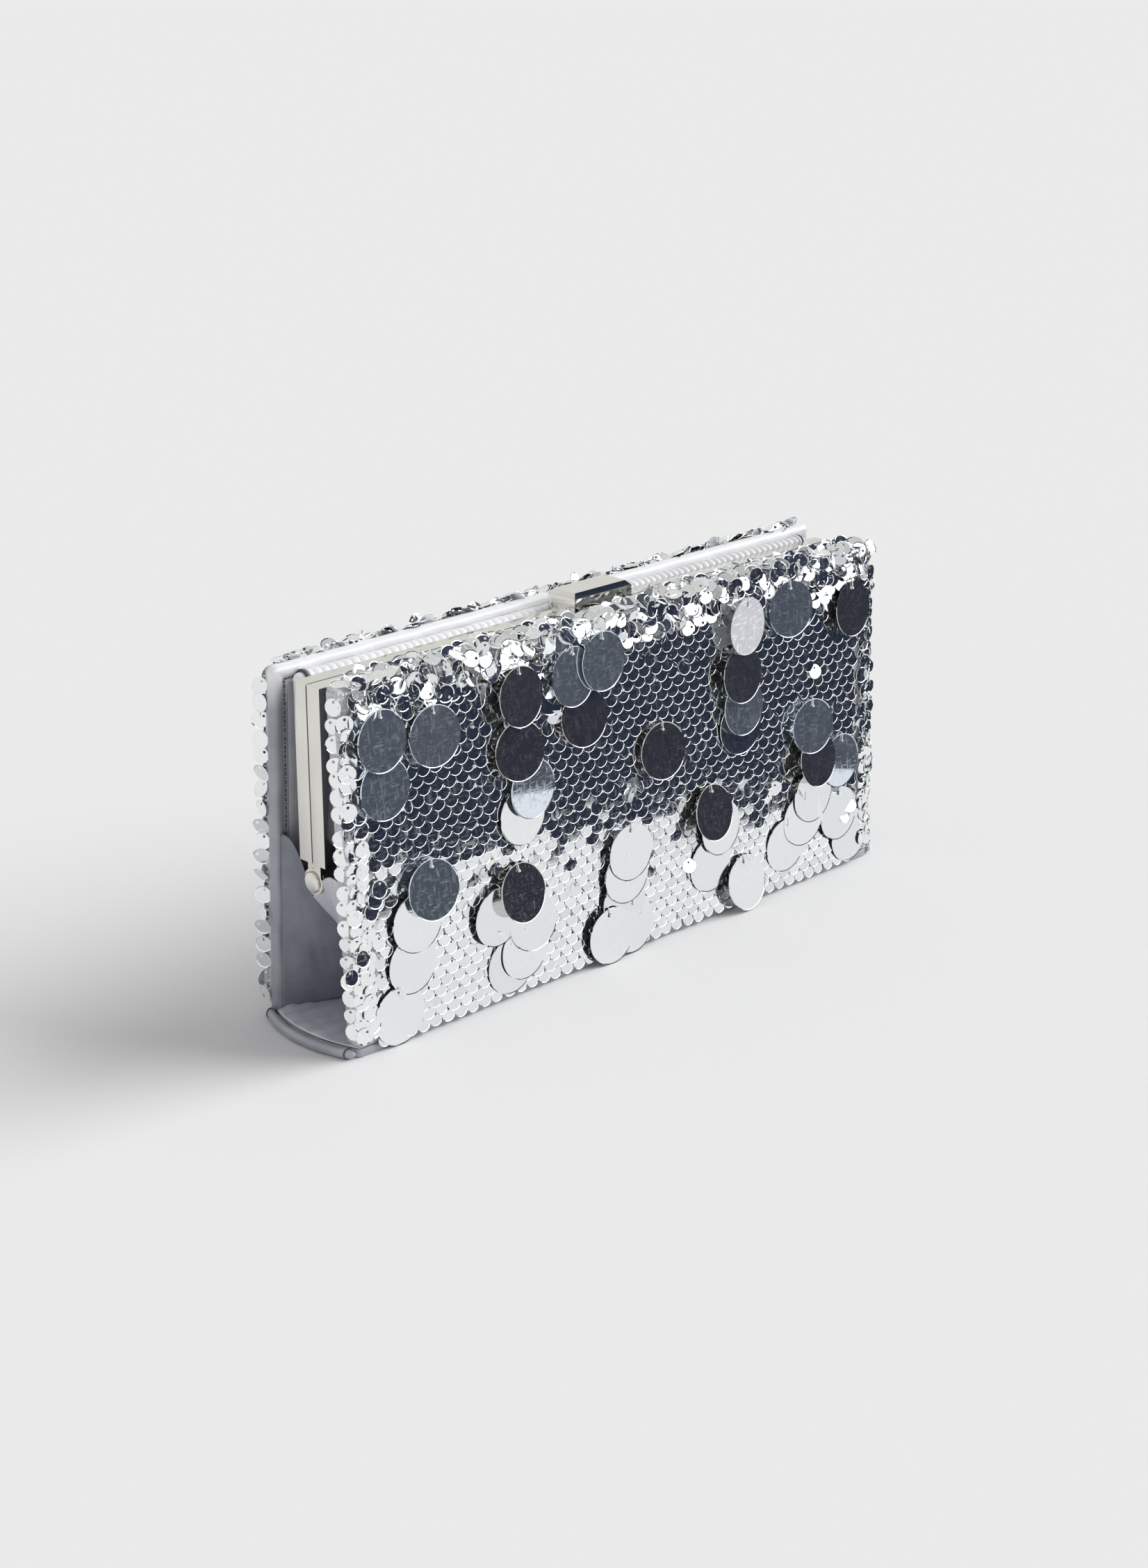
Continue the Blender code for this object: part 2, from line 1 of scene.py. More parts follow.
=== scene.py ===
# %% [markdown]
# # An evening bag, cell by cell
# The bag is a box clutch. Two stiff panels stand on a satin base, and a riveted nickel frame closes them. Their
# outsides are sewn all over with small mirror sequins. Some forty-five large ones, the paillettes, hang over those
# from thread loops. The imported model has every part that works. This script loads it and makes the surfaces.

import json
from math import cos, radians, sin

import bmesh
import bpy
import numpy as np
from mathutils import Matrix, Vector

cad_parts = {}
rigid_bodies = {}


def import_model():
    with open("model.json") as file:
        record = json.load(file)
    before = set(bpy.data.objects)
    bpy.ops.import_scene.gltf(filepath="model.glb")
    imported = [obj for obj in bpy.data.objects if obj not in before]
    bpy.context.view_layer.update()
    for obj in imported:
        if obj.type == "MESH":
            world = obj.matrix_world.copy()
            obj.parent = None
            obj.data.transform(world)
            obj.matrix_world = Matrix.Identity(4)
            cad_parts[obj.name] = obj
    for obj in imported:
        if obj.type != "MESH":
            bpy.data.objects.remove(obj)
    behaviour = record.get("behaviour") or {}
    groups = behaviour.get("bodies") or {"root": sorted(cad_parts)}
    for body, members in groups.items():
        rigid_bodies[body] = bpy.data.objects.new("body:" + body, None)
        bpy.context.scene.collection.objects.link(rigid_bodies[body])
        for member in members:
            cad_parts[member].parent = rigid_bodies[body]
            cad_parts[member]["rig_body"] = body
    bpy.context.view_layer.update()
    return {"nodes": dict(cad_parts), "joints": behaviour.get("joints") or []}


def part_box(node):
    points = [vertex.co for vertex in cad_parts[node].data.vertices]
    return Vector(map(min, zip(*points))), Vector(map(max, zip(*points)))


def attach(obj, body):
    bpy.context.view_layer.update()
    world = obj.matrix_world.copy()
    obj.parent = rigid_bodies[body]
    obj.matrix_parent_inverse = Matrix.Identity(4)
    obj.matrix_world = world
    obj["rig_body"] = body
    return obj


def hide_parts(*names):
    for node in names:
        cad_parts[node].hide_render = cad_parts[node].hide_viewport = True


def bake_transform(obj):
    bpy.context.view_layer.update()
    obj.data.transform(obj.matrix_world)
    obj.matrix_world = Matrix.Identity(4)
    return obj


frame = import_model()

# %% Sizes that the other cells use, read from the frame
MM = 0.001
ENDS = (("left", -1), ("right", 1))
SIDES = ("front", "back")
cloth_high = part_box("front_sequin_cloth")[1]
JOINTS = {joint["name"]: joint for joint in frame["joints"]}
HALF = cloth_high.x
TOP = cloth_high.z
HINGE = np.array(JOINTS["front_panel_hinge"]["pos_m"])
HALF_DEPTH = -float(HINGE[1])
NORMAL = np.array(JOINTS["paillette_01_swing"]["axis"])
LEAN = float(np.arcsin(NORMAL[2]))
PANEL_UP = np.array((0.0, sin(LEAN), cos(LEAN)))
PANEL_HEIGHT = (TOP - HINGE[2]) / cos(LEAN)
PANEL_THICK = 0.0056
CLOTH_WRAP = 0.0024
frame_low, frame_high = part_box("front_frame_channel")
FRAME_END = frame_high.x
FRAME_TOP = frame_high.z
FRAME_SIDE = -frame_low.y
rivet_low, rivet_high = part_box("rivet_left")
RIVET_Z = (rivet_low.z + rivet_high.z) / 2
print("half length", HALF, "panel height", PANEL_HEIGHT, "lean", LEAN, "rivet height", RIVET_Z)


# %% [markdown]
# ## Two panels, one way to say where
# Both panels lean inwards by the same angle. A place on a panel is easiest to say as three numbers: along the bag,
# up the slope from the hinge, and out from the sewn face. One function turns these into world coordinates for the
# front or the back, so nothing below needs to know about the lean.

# %% Panel coordinates
def panel_axes(side):
    """Hinge point and the panel's right, up and outward directions. The back is the front, turned half round."""
    turn = np.array((1.0, 1.0, 1.0)) if side == "front" else np.array((-1.0, -1.0, 1.0))
    return HINGE * turn, np.array((1.0, 0, 0)) * turn, PANEL_UP * turn, NORMAL * turn


def on_panel(side, along, up, out):
    """World points: hinge + along * right + up * slope + out * outward. The three may be arrays that broadcast."""
    hinge, right, slope, outward = panel_axes(side)
    along, up, out = np.broadcast_arrays(along, up, out)
    return hinge + along[..., None] * right + up[..., None] * slope + out[..., None] * outward


print("front top centre", on_panel("front", 0.0, PANEL_HEIGHT, 0.0))


# %% [markdown]
# ## From numbers to meshes
# A surface here is an array of points, rows by columns. Its faces follow from the grid alone, so they are worked
# out in one go. Closed shapes wrap the grid round in one direction, or cap it with one flat face.

# %% Mesh helpers
def grid_faces(rows, columns, wrap_rows=False, wrap_columns=False):
    """Quads of a rows x columns grid of point numbers, joined end to start where it wraps."""
    number = np.arange(rows * columns).reshape(rows, columns)
    if wrap_rows:
        number = np.vstack([number, number[:1]])
    if wrap_columns:
        number = np.hstack([number, number[:, :1]])
    corners = (number[:-1, :-1], number[:-1, 1:], number[1:, 1:], number[1:, :-1])
    return np.stack([corner.ravel() for corner in corners], axis=1)


def piece(name, points, loops, sizes, finish, smooth=True, uv=None, tint=None):
    """A mesh object from points, one flat list of face corners and each face's corner count."""
    mesh = bpy.data.meshes.new(name)
    points = np.asarray(points, np.float32).reshape(-1, 3)
    loops = np.asarray(loops, np.int32).ravel()
    sizes = np.asarray(sizes, np.int32)
    mesh.vertices.add(len(points))
    mesh.vertices.foreach_set("co", points.ravel())
    mesh.loops.add(len(loops))
    mesh.loops.foreach_set("vertex_index", loops)
    mesh.polygons.add(len(sizes))
    mesh.polygons.foreach_set("loop_start", np.concatenate(([0], np.cumsum(sizes)[:-1])).astype(np.int32))
    mesh.update(calc_edges=True)
    mesh.polygons.foreach_set("use_smooth", np.full(len(sizes), smooth))
    if uv is not None:
        layer = mesh.uv_layers.new(name="UVMap")
        layer.data.foreach_set("uv", np.asarray(uv, np.float32).reshape(-1, 2)[loops].ravel())
    if tint is not None:
        mesh.attributes.new("tint", "FLOAT", "POINT").data.foreach_set("value", np.asarray(tint, np.float32))
    mesh.validate()
    made = bpy.data.objects.new(name, mesh)
    bpy.context.scene.collection.objects.link(made)
    mesh.materials.append(finish)
    return made


def grid_piece(name, points, finish, wrap_rows=False, wrap_columns=False, caps=False, smooth=True, flip=False):
    """A grid as a mesh, with UVs in metres along both directions and, if asked, both end rings capped."""
    rows, columns = points.shape[:2]
    faces = grid_faces(rows, columns, wrap_rows, wrap_columns)
    faces = faces[:, ::-1] if flip else faces
    loops = [faces.ravel()]
    sizes = [np.full(len(faces), 4)]
    if caps:
        first = np.arange(columns)[:: 1 if flip else -1]
        last = (rows - 1) * columns + np.arange(columns)[:: -1 if flip else 1]
        loops += [first, last]
        sizes += [[columns], [columns]]
    down = np.linalg.norm(np.diff(points, axis=0, prepend=points[:1]), axis=2).cumsum(axis=0)
    across = np.linalg.norm(np.diff(points, axis=1, prepend=points[:, :1]), axis=2).cumsum(axis=1)
    uv = np.stack([across, down], axis=2)
    return piece(name, points, np.concatenate(loops), np.concatenate(sizes), finish, smooth, uv)


def thicken(made, thickness, offset=-1.0):
    """A wall for an open sheet. With offset -1 it grows inwards, away from the side that the faces point to."""
    wall = made.modifiers.new("thickness", "SOLIDIFY")
    wall.thickness = thickness
    wall.offset = offset
    return made


def settle(made, body, node=None):
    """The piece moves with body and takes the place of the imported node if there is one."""
    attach(made, body)
    if node:
        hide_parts(node)
    return made


def smoothstep(low, high, value):
    """0 below low, 1 above high, and an even S between them."""
    share = np.clip((value - low) / (high - low), 0.0, 1.0)
    return share * share * (3 - 2 * share)


def ripples(u, v, seed, waves=7, longest=1.0):
    """Soft random relief from -1 to 1: a sum of sine waves in random directions, the shorter the weaker."""
    draw = np.random.default_rng(seed)
    total = np.zeros(np.broadcast(u, v).shape)
    for wave in range(1, waves + 1):
        angle, phase = draw.uniform(0, 2 * np.pi, 2)
        stretch = 2 * np.pi * (0.6 + 0.5 * wave) / longest
        total += np.sin(stretch * (u * np.cos(angle) + v * np.sin(angle)) + phase) / wave
    return total / 2.2


print("helpers ready")


# %% [markdown]
# ## Camera
# The camera looks a little down on the bag's left front corner with a moderate telephoto lens. It aims close to the
# middle of the bag, from 0.9 m.

# %% Camera
AZIMUTH = radians(-43.98)
ELEVATION = radians(20.441)
DISTANCE = 0.893
LENS = 60.1
AIM_RIGHT = -0.005319
AIM_UP = -0.005555

back = Vector((sin(AZIMUTH) * cos(ELEVATION), -cos(AZIMUTH) * cos(ELEVATION), sin(ELEVATION)))
right = Vector((cos(AZIMUTH), sin(AZIMUTH), 0))
aim = Vector((0, 0, TOP / 2)) + right * AIM_RIGHT + back.cross(right) * AIM_UP
camera = bpy.data.objects.new("camera", bpy.data.cameras.new("camera"))
camera.data.lens = LENS
camera.data.sensor_width = 36
camera.data.clip_end = 100
camera.location = aim + back * DISTANCE
camera.rotation_euler = (-back).to_track_quat("-Z", "Y").to_euler()
bpy.context.scene.collection.objects.link(camera)
bpy.context.scene.camera = camera
print("camera at", tuple(camera.location))


# %% [markdown]
# ## Nodes
# Materials and the studio are small graphs of shader nodes. One function adds a node and fills its inputs: a socket
# is linked, and a plain value is set.

# %% Node helpers
def feed(tree, node, inputs):
    """Link each input that is given a socket, and set each that is given a value."""
    for name, value in inputs.items():
        if isinstance(value, bpy.types.NodeSocket):
            tree.links.new(value, node.inputs[name])
        else:
            node.inputs[name].default_value = value


def add_node(tree, kind, output, inputs={}, **settings):
    """A new node with its settings and inputs. Returns one of its outputs."""
    node = tree.nodes.new("ShaderNode" + kind)
    for name, value in settings.items():
        setattr(node, name, value)
    feed(tree, node, inputs)
    return node.outputs[output]


def node_material(name):
    """A material with only its shader and output. Returns it, its node tree and its shader."""
    material = bpy.data.materials.new(name)
    material.use_nodes = True
    return material, material.node_tree, material.node_tree.nodes["Principled BSDF"]


def value_noise(tree, coordinates, scale, detail=2.0, stretch=(1, 1, 1)):
    """Noise on the chosen coordinates, stretched by a Mapping node."""
    place = add_node(tree, "Mapping", "Vector", {"Vector": coordinates, "Scale": stretch})
    return add_node(tree, "TexNoise", "Fac", {"Vector": place, "Scale": scale, "Detail": detail})


def ramp_of(tree, value, stops):
    """A colour ramp with the given (position, colour) stops."""
    ramp = tree.nodes.new("ShaderNodeValToRGB")
    for element, (position, colour) in zip(ramp.color_ramp.elements, (stops[0], stops[-1])):
        element.position = position
        element.color = (*colour, 1)
    for position, colour in stops[1:-1]:
        ramp.color_ramp.elements.new(position).color = (*colour, 1)
    feed(tree, ramp, {"Fac": value})
    return ramp.outputs["Color"]


def range_of(tree, value, low, high, to_low, to_high, curve="LINEAR"):
    """A value mapped from one range onto another."""
    inputs = {"Value": value, "From Min": low, "From Max": high, "To Min": to_low, "To Max": to_high}
    return add_node(tree, "MapRange", "Result", inputs, interpolation_type=curve)


def bump_of(tree, height, strength, distance, below=None):
    """A Bump node, on top of another one if there is one."""
    inputs = {"Height": height, "Strength": strength, "Distance": distance}
    if below is not None:
        inputs["Normal"] = below
    return add_node(tree, "Bump", "Normal", inputs)


print("node helpers ready")


# %% [markdown]
# ## Studio
# Mirrors show the room and not themselves, so the room is half of this object's look. A pale floor lies under
# everything and rises behind into a pale backdrop. To the right, in front, the studio is dark and slightly blue. The
# reflections of the upper sequins run out over the floor's edge into that dark, and the lower ones end on the floor.
# A dark card on the ground, seen only in reflections, stands for the floor's edge there. Above that edge hangs a
# wide soft light, low enough for a sequin that leans back to find it. A wide sun, which mirrors don't see, is the key.

# %% Studio
def studio_world(ambient, backdrop, dark, box, away, horizon, gain):
    """Even white light for diffuse surfaces, and the horizon's own colour where it is looked at directly.

    Reflections see a backdrop and, towards away, a dark room with a box light. Both are made brighter by gain.
    """
    world = bpy.data.worlds.new("studio")
    world.use_nodes = True
    tree = world.node_tree
    tree.nodes.clear()
    direction = add_node(tree, "TexCoord", "Generated")
    height = add_node(tree, "SeparateXYZ", "Z", {0: direction})
    along = add_node(tree, "VectorMath", "Value", {0: direction, 1: away}, operation="DOT_PRODUCT")
    dim = tuple(1.6 * c for c in dark)
    faint = tuple(0.7 * c for c in backdrop)
    room = ramp_of(tree, height, (
        (0.0, dark), (0.09, dark), (0.16, box), (0.50, box), (0.60, dim), (0.88, dim), (1.0, (0.25, 0.25, 0.26)),
    ))
    pale = ramp_of(tree, height, ((0.0, backdrop), (0.55, backdrop), (1.0, faint)))
    cloud = add_node(tree, "TexNoise", "Fac", {"Vector": direction, "Scale": 2.2})
    uneven = range_of(tree, cloud, 0.35, 0.65, 0.75, 1.25)
    clouded = add_node(tree, "VectorMath", "Vector", {0: room, "Scale": uneven}, operation="SCALE")
    turn = range_of(tree, along, 0.10, 0.50, 0, 1, "SMOOTHSTEP")
    view = add_node(tree, "Mix", "Result", {"Factor": turn, "A": pale, "B": clouded}, data_type="RGBA")
    light = add_node(tree, "Background", 0, {"Color": (*ambient, 1)})
    seen = add_node(tree, "Background", 0, {"Color": view, "Strength": gain})
    plain = add_node(tree, "Background", 0, {"Color": (*horizon, 1)})
    rays = tree.nodes.new("ShaderNodeLightPath").outputs
    indirect = add_node(tree, "MixShader", 0, {"Fac": rays["Is Glossy Ray"], 1: light, 2: seen})
    direct = add_node(tree, "MixShader", 0, {"Fac": rays["Is Camera Ray"], 1: indirect, 2: plain})
    feed(tree, tree.nodes.new("ShaderNodeOutputWorld"), {"Surface": direct})
    bpy.context.scene.world = world


CARD_STEPS = 96
CARD_OUTER = 12.0
CARD_FAR, CARD_NEAR = 11.9, 0.23
CARD_BEARING = radians(-47)
CARD_HEIGHT = 0.6 * MM


def ring_card(name, inner, outer, height, colour):
    """A flat ring round the bag, inner radius a function of the bearing, lit by itself, seen only by reflections."""
    bearing = np.arange(CARD_STEPS) * 2 * np.pi / CARD_STEPS
    radii = np.stack([inner(bearing), np.full(CARD_STEPS, outer)])
    level = np.full((2, CARD_STEPS), height)
    points = np.stack([radii * np.cos(bearing), radii * np.sin(bearing), level], axis=2)
    material, tree, shader = node_material(name)
    feed(tree, shader, {
        "Base Color": (0, 0, 0, 1), "Specular IOR Level": 0, "Emission Color": (*colour, 1), "Emission Strength": 1,
    })
    card = grid_piece(name, points, material, wrap_columns=True, smooth=False)
    for ray in ("camera", "diffuse", "shadow", "transmission"):
        setattr(card, "visible_" + ray, False)


def card_reach(bearing):
    """The floor ends close by on the side that the front mirrors look to, and never on the other sides."""
    towards = np.cos(bearing - CARD_BEARING)
    return CARD_FAR - (CARD_FAR - CARD_NEAR) * smoothstep(0.05, 0.60, towards)


BOX_GAIN = 1.7
DARK = (0.015, 0.021, 0.040)
studio_world(
    ambient=(0.47, 0.47, 0.475), backdrop=(0.47, 0.47, 0.46), dark=tuple(c / BOX_GAIN for c in DARK),
    box=(1.0, 1.0, 1.0), away=(0.69, -0.72, 0.0), horizon=(0.82, 0.82, 0.82), gain=BOX_GAIN,
)
ring_card("floor_edge", card_reach, CARD_OUTER, CARD_HEIGHT, DARK)

FLOOR_REACH = 20
FLOOR_DROP = 0.05 * MM
floor_paint, tree, shader = node_material("floor_paint")
feed(tree, shader, {"Base Color": (0.86, 0.86, 0.86, 1), "Roughness": 0.9, "Specular IOR Level": 0.0})
corners = FLOOR_REACH * np.array([[[-1, -1, 0], [1, -1, 0]], [[-1, 1, 0], [1, 1, 0]]], float)
floor = grid_piece("floor", corners - (0, 0, FLOOR_DROP), floor_paint, smooth=False)

key = bpy.data.objects.new("key", bpy.data.lights.new("key", "SUN"))
key.data.energy = 2.72
key.data.angle = radians(46)
key_from = right * 0.86 + Vector((0, 0, 0.61)) - Vector((back.x, back.y, 0)) * 0.22
key.rotation_euler = key_from.to_track_quat("Z", "Y").to_euler()
key.visible_glossy = False
bpy.context.scene.collection.objects.link(key)
bpy.context.scene.view_settings.view_transform = "Standard"
print("key light from", tuple(key_from))


# %% [markdown]
# ## Finishes
# Four finishes carry the bag. Mirror film is polyester coated with aluminium: a clean metal mirror with hair
# scratches. Nickel is warmer and a little softer. Satin is a weave whose long floating threads shine across the
# light, so it gets fine ribs, a sheen and soft lighter bands. Several satins are lighter or darker copies of one
# cloth, with light or shade painted into their colour. Thread is matt and white. A dark matt finish serves as
# dark thread and also as painted shade in gaps and holes.

# %% Mirror film
def mirror_film(name, bright, dull, roughness, scratch_scale, haze, dust):
    """Aluminised film: colour drifts by piece through the tint attribute. Scratches and dust scatter some light.

    haze is the share that scatters everywhere, and dust the share that scatters along the scratches.
    """
    material, tree, shader = node_material(name)
    place = add_node(tree, "TexCoord", "Object")
    tint = add_node(tree, "Attribute", "Fac", attribute_name="tint")
    fine = value_noise(tree, place, scratch_scale, 4.0, (1.0, 1.0, 0.22))
    cross = value_noise(tree, place, scratch_scale * 1.6, 3.0, (0.2, 1.0, 1.0))
    wear = add_node(tree, "Math", 0, {0: fine, 1: cross}, operation="MAXIMUM")
    feed(tree, shader, {
        "Base Color": ramp_of(tree, tint, ((0.0, dull), (0.6, bright), (1.0, (0.97, 0.98, 0.98)))),
        "Roughness": range_of(tree, wear, 0.50, 0.72, roughness, roughness + 0.16),
        "Metallic": range_of(tree, wear, 0.54, 0.68, 1.0 - haze, 1.0 - dust),
        "Normal": bump_of(tree, wear, 0.04, 0.01 * MM),
    })
    return material


SEQUIN = mirror_film("sequin_mirror", (0.93, 0.95, 0.96), (0.80, 0.83, 0.86), 0.045, 900, 0.01, 0.05)
PAILLETTE = mirror_film("paillette_mirror", (0.84, 0.92, 0.99), (0.77, 0.85, 0.93), 0.03, 1050, 0.075, 0.165)
CLEAN = mirror_film("clean_mirror", (0.93, 0.95, 0.955), (0.87, 0.90, 0.91), 0.03, 1500, 0.01, 0.04)
SMOKED = mirror_film("smoked_mirror", (0.82, 0.80, 0.75), (0.74, 0.72, 0.68), 0.03, 1300, 0.02, 0.06)
SCUFFED = mirror_film("scuffed_mirror", (0.93, 0.93, 0.97), (0.84, 0.85, 0.90), 0.16, 700, 0.62, 0.86)
print("mirror film made")


# %% Nickel and steel
def metal(name, colour, roughness, brush):
    """Polished plate: faint rub marks along the bag's length and slightly cloudy roughness."""
    material, tree, shader = node_material(name)
    place = add_node(tree, "TexCoord", "Object")
    cloud = value_noise(tree, place, 60, 3.0)
    rub = value_noise(tree, place, 500, 2.0, brush)
    feed(tree, shader, {
        "Base Color": ramp_of(tree, cloud, ((0.3, tuple(0.93 * c for c in colour)), (0.7, colour))),
        "Roughness": range_of(tree, rub, 0.3, 0.8, roughness, roughness + 0.10),
        "Normal": bump_of(tree, rub, 0.08, 0.03 * MM),
        "Metallic": 1.0,
    })
    return material


NICKEL = metal("nickel", (0.80, 0.787, 0.74), 0.10, (0.05, 1, 1))
STEEL = metal("spring_steel", (0.60, 0.60, 0.61), 0.26, (1, 1, 1))
print("metals made")


# %% Satin
def satin(name, deep, light, sheen, pale=None):
    """Satin on the piece's own UVs: ribs of thread, a soft drift of colour, creases in the bump, and a sheen.

    pale is (low, high, colour): painted light on the top. Between those heights the cloth turns into that colour, as
    though lit from above.
    """
    material, tree, shader = node_material(name)
    uv = add_node(tree, "TexCoord", "UV")
    place = add_node(tree, "TexCoord", "Object")
    weave = {"Vector": uv, "Scale": 2600.0, "Distortion": 0.6}
    ribs = add_node(tree, "TexWave", "Fac", weave, bands_direction="DIAGONAL")
    slub = value_noise(tree, uv, 1500, 3.0, (1.0, 0.12, 1.0))
    drift = value_noise(tree, place, 70, 3.0)
    mixed = add_node(tree, "Math", 0, {0: slub, 1: 0.45, 2: drift}, operation="MULTIPLY_ADD")
    colour = ramp_of(tree, mixed, ((0.45, deep), (0.95, light)))
    # Painted light: towards the top the colour turns near white, as where the cloth catches the light from above.
    if pale:
        low, high, painted_top_colour = pale
        share = range_of(tree, add_node(tree, "SeparateXYZ", "Z", {0: place}), low, high, 0.0, 1.0)
        blend = {"Factor": share, "A": colour, "B": (*painted_top_colour, 1)}
        colour = add_node(tree, "Mix", "Result", blend, data_type="RGBA")
    normal = bump_of(tree, drift, 0.25, 0.6 * MM)
    normal = bump_of(tree, slub, 0.25, 0.04 * MM, normal)
    normal = bump_of(tree, ribs, 0.12, 0.03 * MM, normal)
    feed(tree, shader, {
        "Base Color": colour, "Normal": normal, "Roughness": range_of(tree, slub, 0.3, 0.7, 0.38, 0.52),
        "Metallic": 0.22, "Specular IOR Level": 0.9, "Anisotropic": 0.4,
        "Sheen Weight": sheen, "Sheen Roughness": 0.35, "Sheen Tint": (0.80, 0.84, 1.0, 1),
    })
    return material


SATIN = satin("satin", (0.25, 0.26, 0.315), (0.40, 0.41, 0.48), 0.40)
# A darker copy of the satin, with painted shade, for the back leaves.
PAINTED_SHADE_SATIN = satin("satin_painted_shade", (0.165, 0.175, 0.215), (0.27, 0.28, 0.335), 0.36)
# A lighter copy of the satin, with painted light for the rounded binding. Above 106 mm it turns near white: painted
# light on its top.
BINDING_SATIN = satin(
    "binding_satin", (0.30, 0.31, 0.35), (0.46, 0.47, 0.515), 0.5, pale=(0.106, 0.1175, (0.96, 0.965, 0.97)),
)
# A lighter copy of the satin, with painted light: it stands for light on the front leaves and the floor lining, and
# offsets the shade on the back facing and the back lining.
PAINTED_LIT_SATIN = satin("satin_painted_lit", (0.52, 0.53, 0.59), (0.70, 0.71, 0.76), 0.5)
PALE_SATIN = satin("satin_roll", (0.90, 0.905, 0.92), (0.97, 0.97, 0.98), 0.4)
LINING = satin("lining_satin", (0.22, 0.23, 0.28), (0.35, 0.36, 0.42), 0.3)
print("satins made")


# %% Thread, ground cloth and board
def matt(name, colours, scale, roughness, relief, sheen=0.0):
    """A matt finish: two colours drifting into each other over a fine relief."""
    material, tree, shader = node_material(name)
    grain = value_noise(tree, add_node(tree, "TexCoord", "Object"), scale, 3.0)
    feed(tree, shader, {
        "Base Color": ramp_of(tree, grain, ((0.35, colours[0]), (0.65, colours[1]))),
        "Normal": bump_of(tree, grain, 0.5, relief),
        "Roughness": range_of(tree, grain, 0.3, 0.7, roughness - 0.08, roughness),
        "Sheen Weight": sheen,
    })
    return material


THREAD = matt("thread", ((0.72, 0.73, 0.75), (0.90, 0.90, 0.91)), 3000, 0.55, 0.00003, 0.4)
# Dark thread for stitches, ties and cords; the same finish is also painted shade in the frame's gap and in holes.
DARK_THREAD_AND_SHADE = matt("dark_thread_and_shade", ((0.06, 0.065, 0.09), (0.10, 0.105, 0.13)), 3000, 0.7, 0.00003)
GROUND = matt("ground_cloth", ((0.50, 0.51, 0.54), (0.78, 0.79, 0.81)), 1400, 0.6, 0.0001, 0.3)
BEAD = matt("glass_bead", ((0.80, 0.82, 0.84), (0.93, 0.94, 0.95)), 800, 0.16, 0.00001)
BOARD = matt("greyboard", ((0.34, 0.33, 0.31), (0.46, 0.45, 0.43)), 900, 0.92, 0.00008)
FOAM = matt("foam", ((0.74, 0.73, 0.69), (0.88, 0.87, 0.83)), 2500, 0.95, 0.0002)
CORD = matt("paper_cord", ((0.55, 0.48, 0.38), (0.74, 0.67, 0.55)), 1200, 0.9, 0.0001)
print("matt finishes made")


# %% [markdown]
# ## The stiff panels under the sequins
# Each panel is grey board with a thin foam face, and the ground cloth is pulled tight round both. What shows of it
# is a soft rounded edge. Rings of a rounded rectangle, each a little smaller or further out than the last, draw the
# face, the shoulder and the wrapped side in one closed form. A bevelled box would have hard shading instead.

# %% Rounded rectangles
LEAST_CORNER = 0.2 * MM


def rounded_ring(half, low, high, corner, inset, arc_steps=6, side_steps=10):
    """A closed loop (x, up) round a rectangle, moved in by inset: four arcs, and straight sides cut in equal steps."""
    round_off = max(corner - inset, LEAST_CORNER)
    middle = (low + high) / 2
    x = half - inset - round_off
    up = (high - low) / 2 - inset - round_off
    loop = []
    for quarter, (sx, sy) in enumerate(((1, 1), (-1, 1), (-1, -1), (1, -1))):
        angle = np.linspace(0, np.pi / 2, arc_steps + 1) + quarter * np.pi / 2
        arc = np.stack([sx * x + round_off * np.cos(angle), sy * up + round_off * np.sin(angle)], axis=1)
        nx, ny = ((-1, 1), (-1, -1), (1, -1), (1, 1))[quarter]
        following = np.array((nx * x, ny * up)) + round_off * np.array(((0, 1), (-1, 0), (0, -1), (1, 0))[quarter])
        share = np.linspace(0, 1, side_steps + 1)[1:-1, None]
        loop += [arc, arc[-1] + (following - arc[-1]) * share]
    loop = np.concatenate(loop)
    return loop[:, 0], loop[:, 1] + middle


def slab(name, side, rings, corner, finish):
    """A closed soft board in panel coordinates. rings are (inset, out) pairs from the middle of the face backwards."""
    rows = []
    for inset, out in rings:
        x, up = rounded_ring(HALF, 0.0, PANEL_HEIGHT, corner, inset)
        rows.append(on_panel(side, x, up, out))
    return grid_piece(name, np.array(rows), finish, wrap_columns=True, caps=True, flip=True)


def shoulder(radius, steps):
    """The quarter round from the face to the side, as (inset, out) pairs."""
    angle = np.linspace(np.pi / 2, 0, steps + 1)
    return [(radius * (1 - c), radius * (s - 1)) for c, s in zip(np.cos(angle), np.sin(angle))]


PANEL_CORNER = 1.6 * MM
FACE_RINGS = [(30 * MM, 0.1 * MM), (12 * MM, 0.1 * MM), (5 * MM, 0.08 * MM)]
for side, wrap in (("front", PANEL_THICK), ("back", CLOTH_WRAP)):
    rings = FACE_RINGS + shoulder(PANEL_CORNER, 6)
    rings += [(0.0, -wrap * 0.8), (0.1 * MM, -wrap + 0.3 * MM), (0.5 * MM, -wrap), (1.6 * MM, -wrap)]
    cloth = slab(side + "_ground_cloth", side, rings, PANEL_CORNER, GROUND)
    settle(cloth, side + "_panel", side + "_sequin_cloth")
    print(cloth.name, len(cloth.data.polygons), "faces")


# %% [markdown]
# ## Thousands of sequins
# A small sequin is a 6 mm disc of mirror film with a pressed rim, sewn at its upper edge. In rows, each covers the
# top of those below, so what shows is a field of scales. Copying an object thousands of times would be slow, so one
# mould is moved to every place at once: place + right * x + up * y + outward * z, as one array operation.

# %% The moulds
SEQUIN_RADIUS = 3.0 * MM
SCALE_RADIUS = 2.82 * MM
FILM = 0.10 * MM


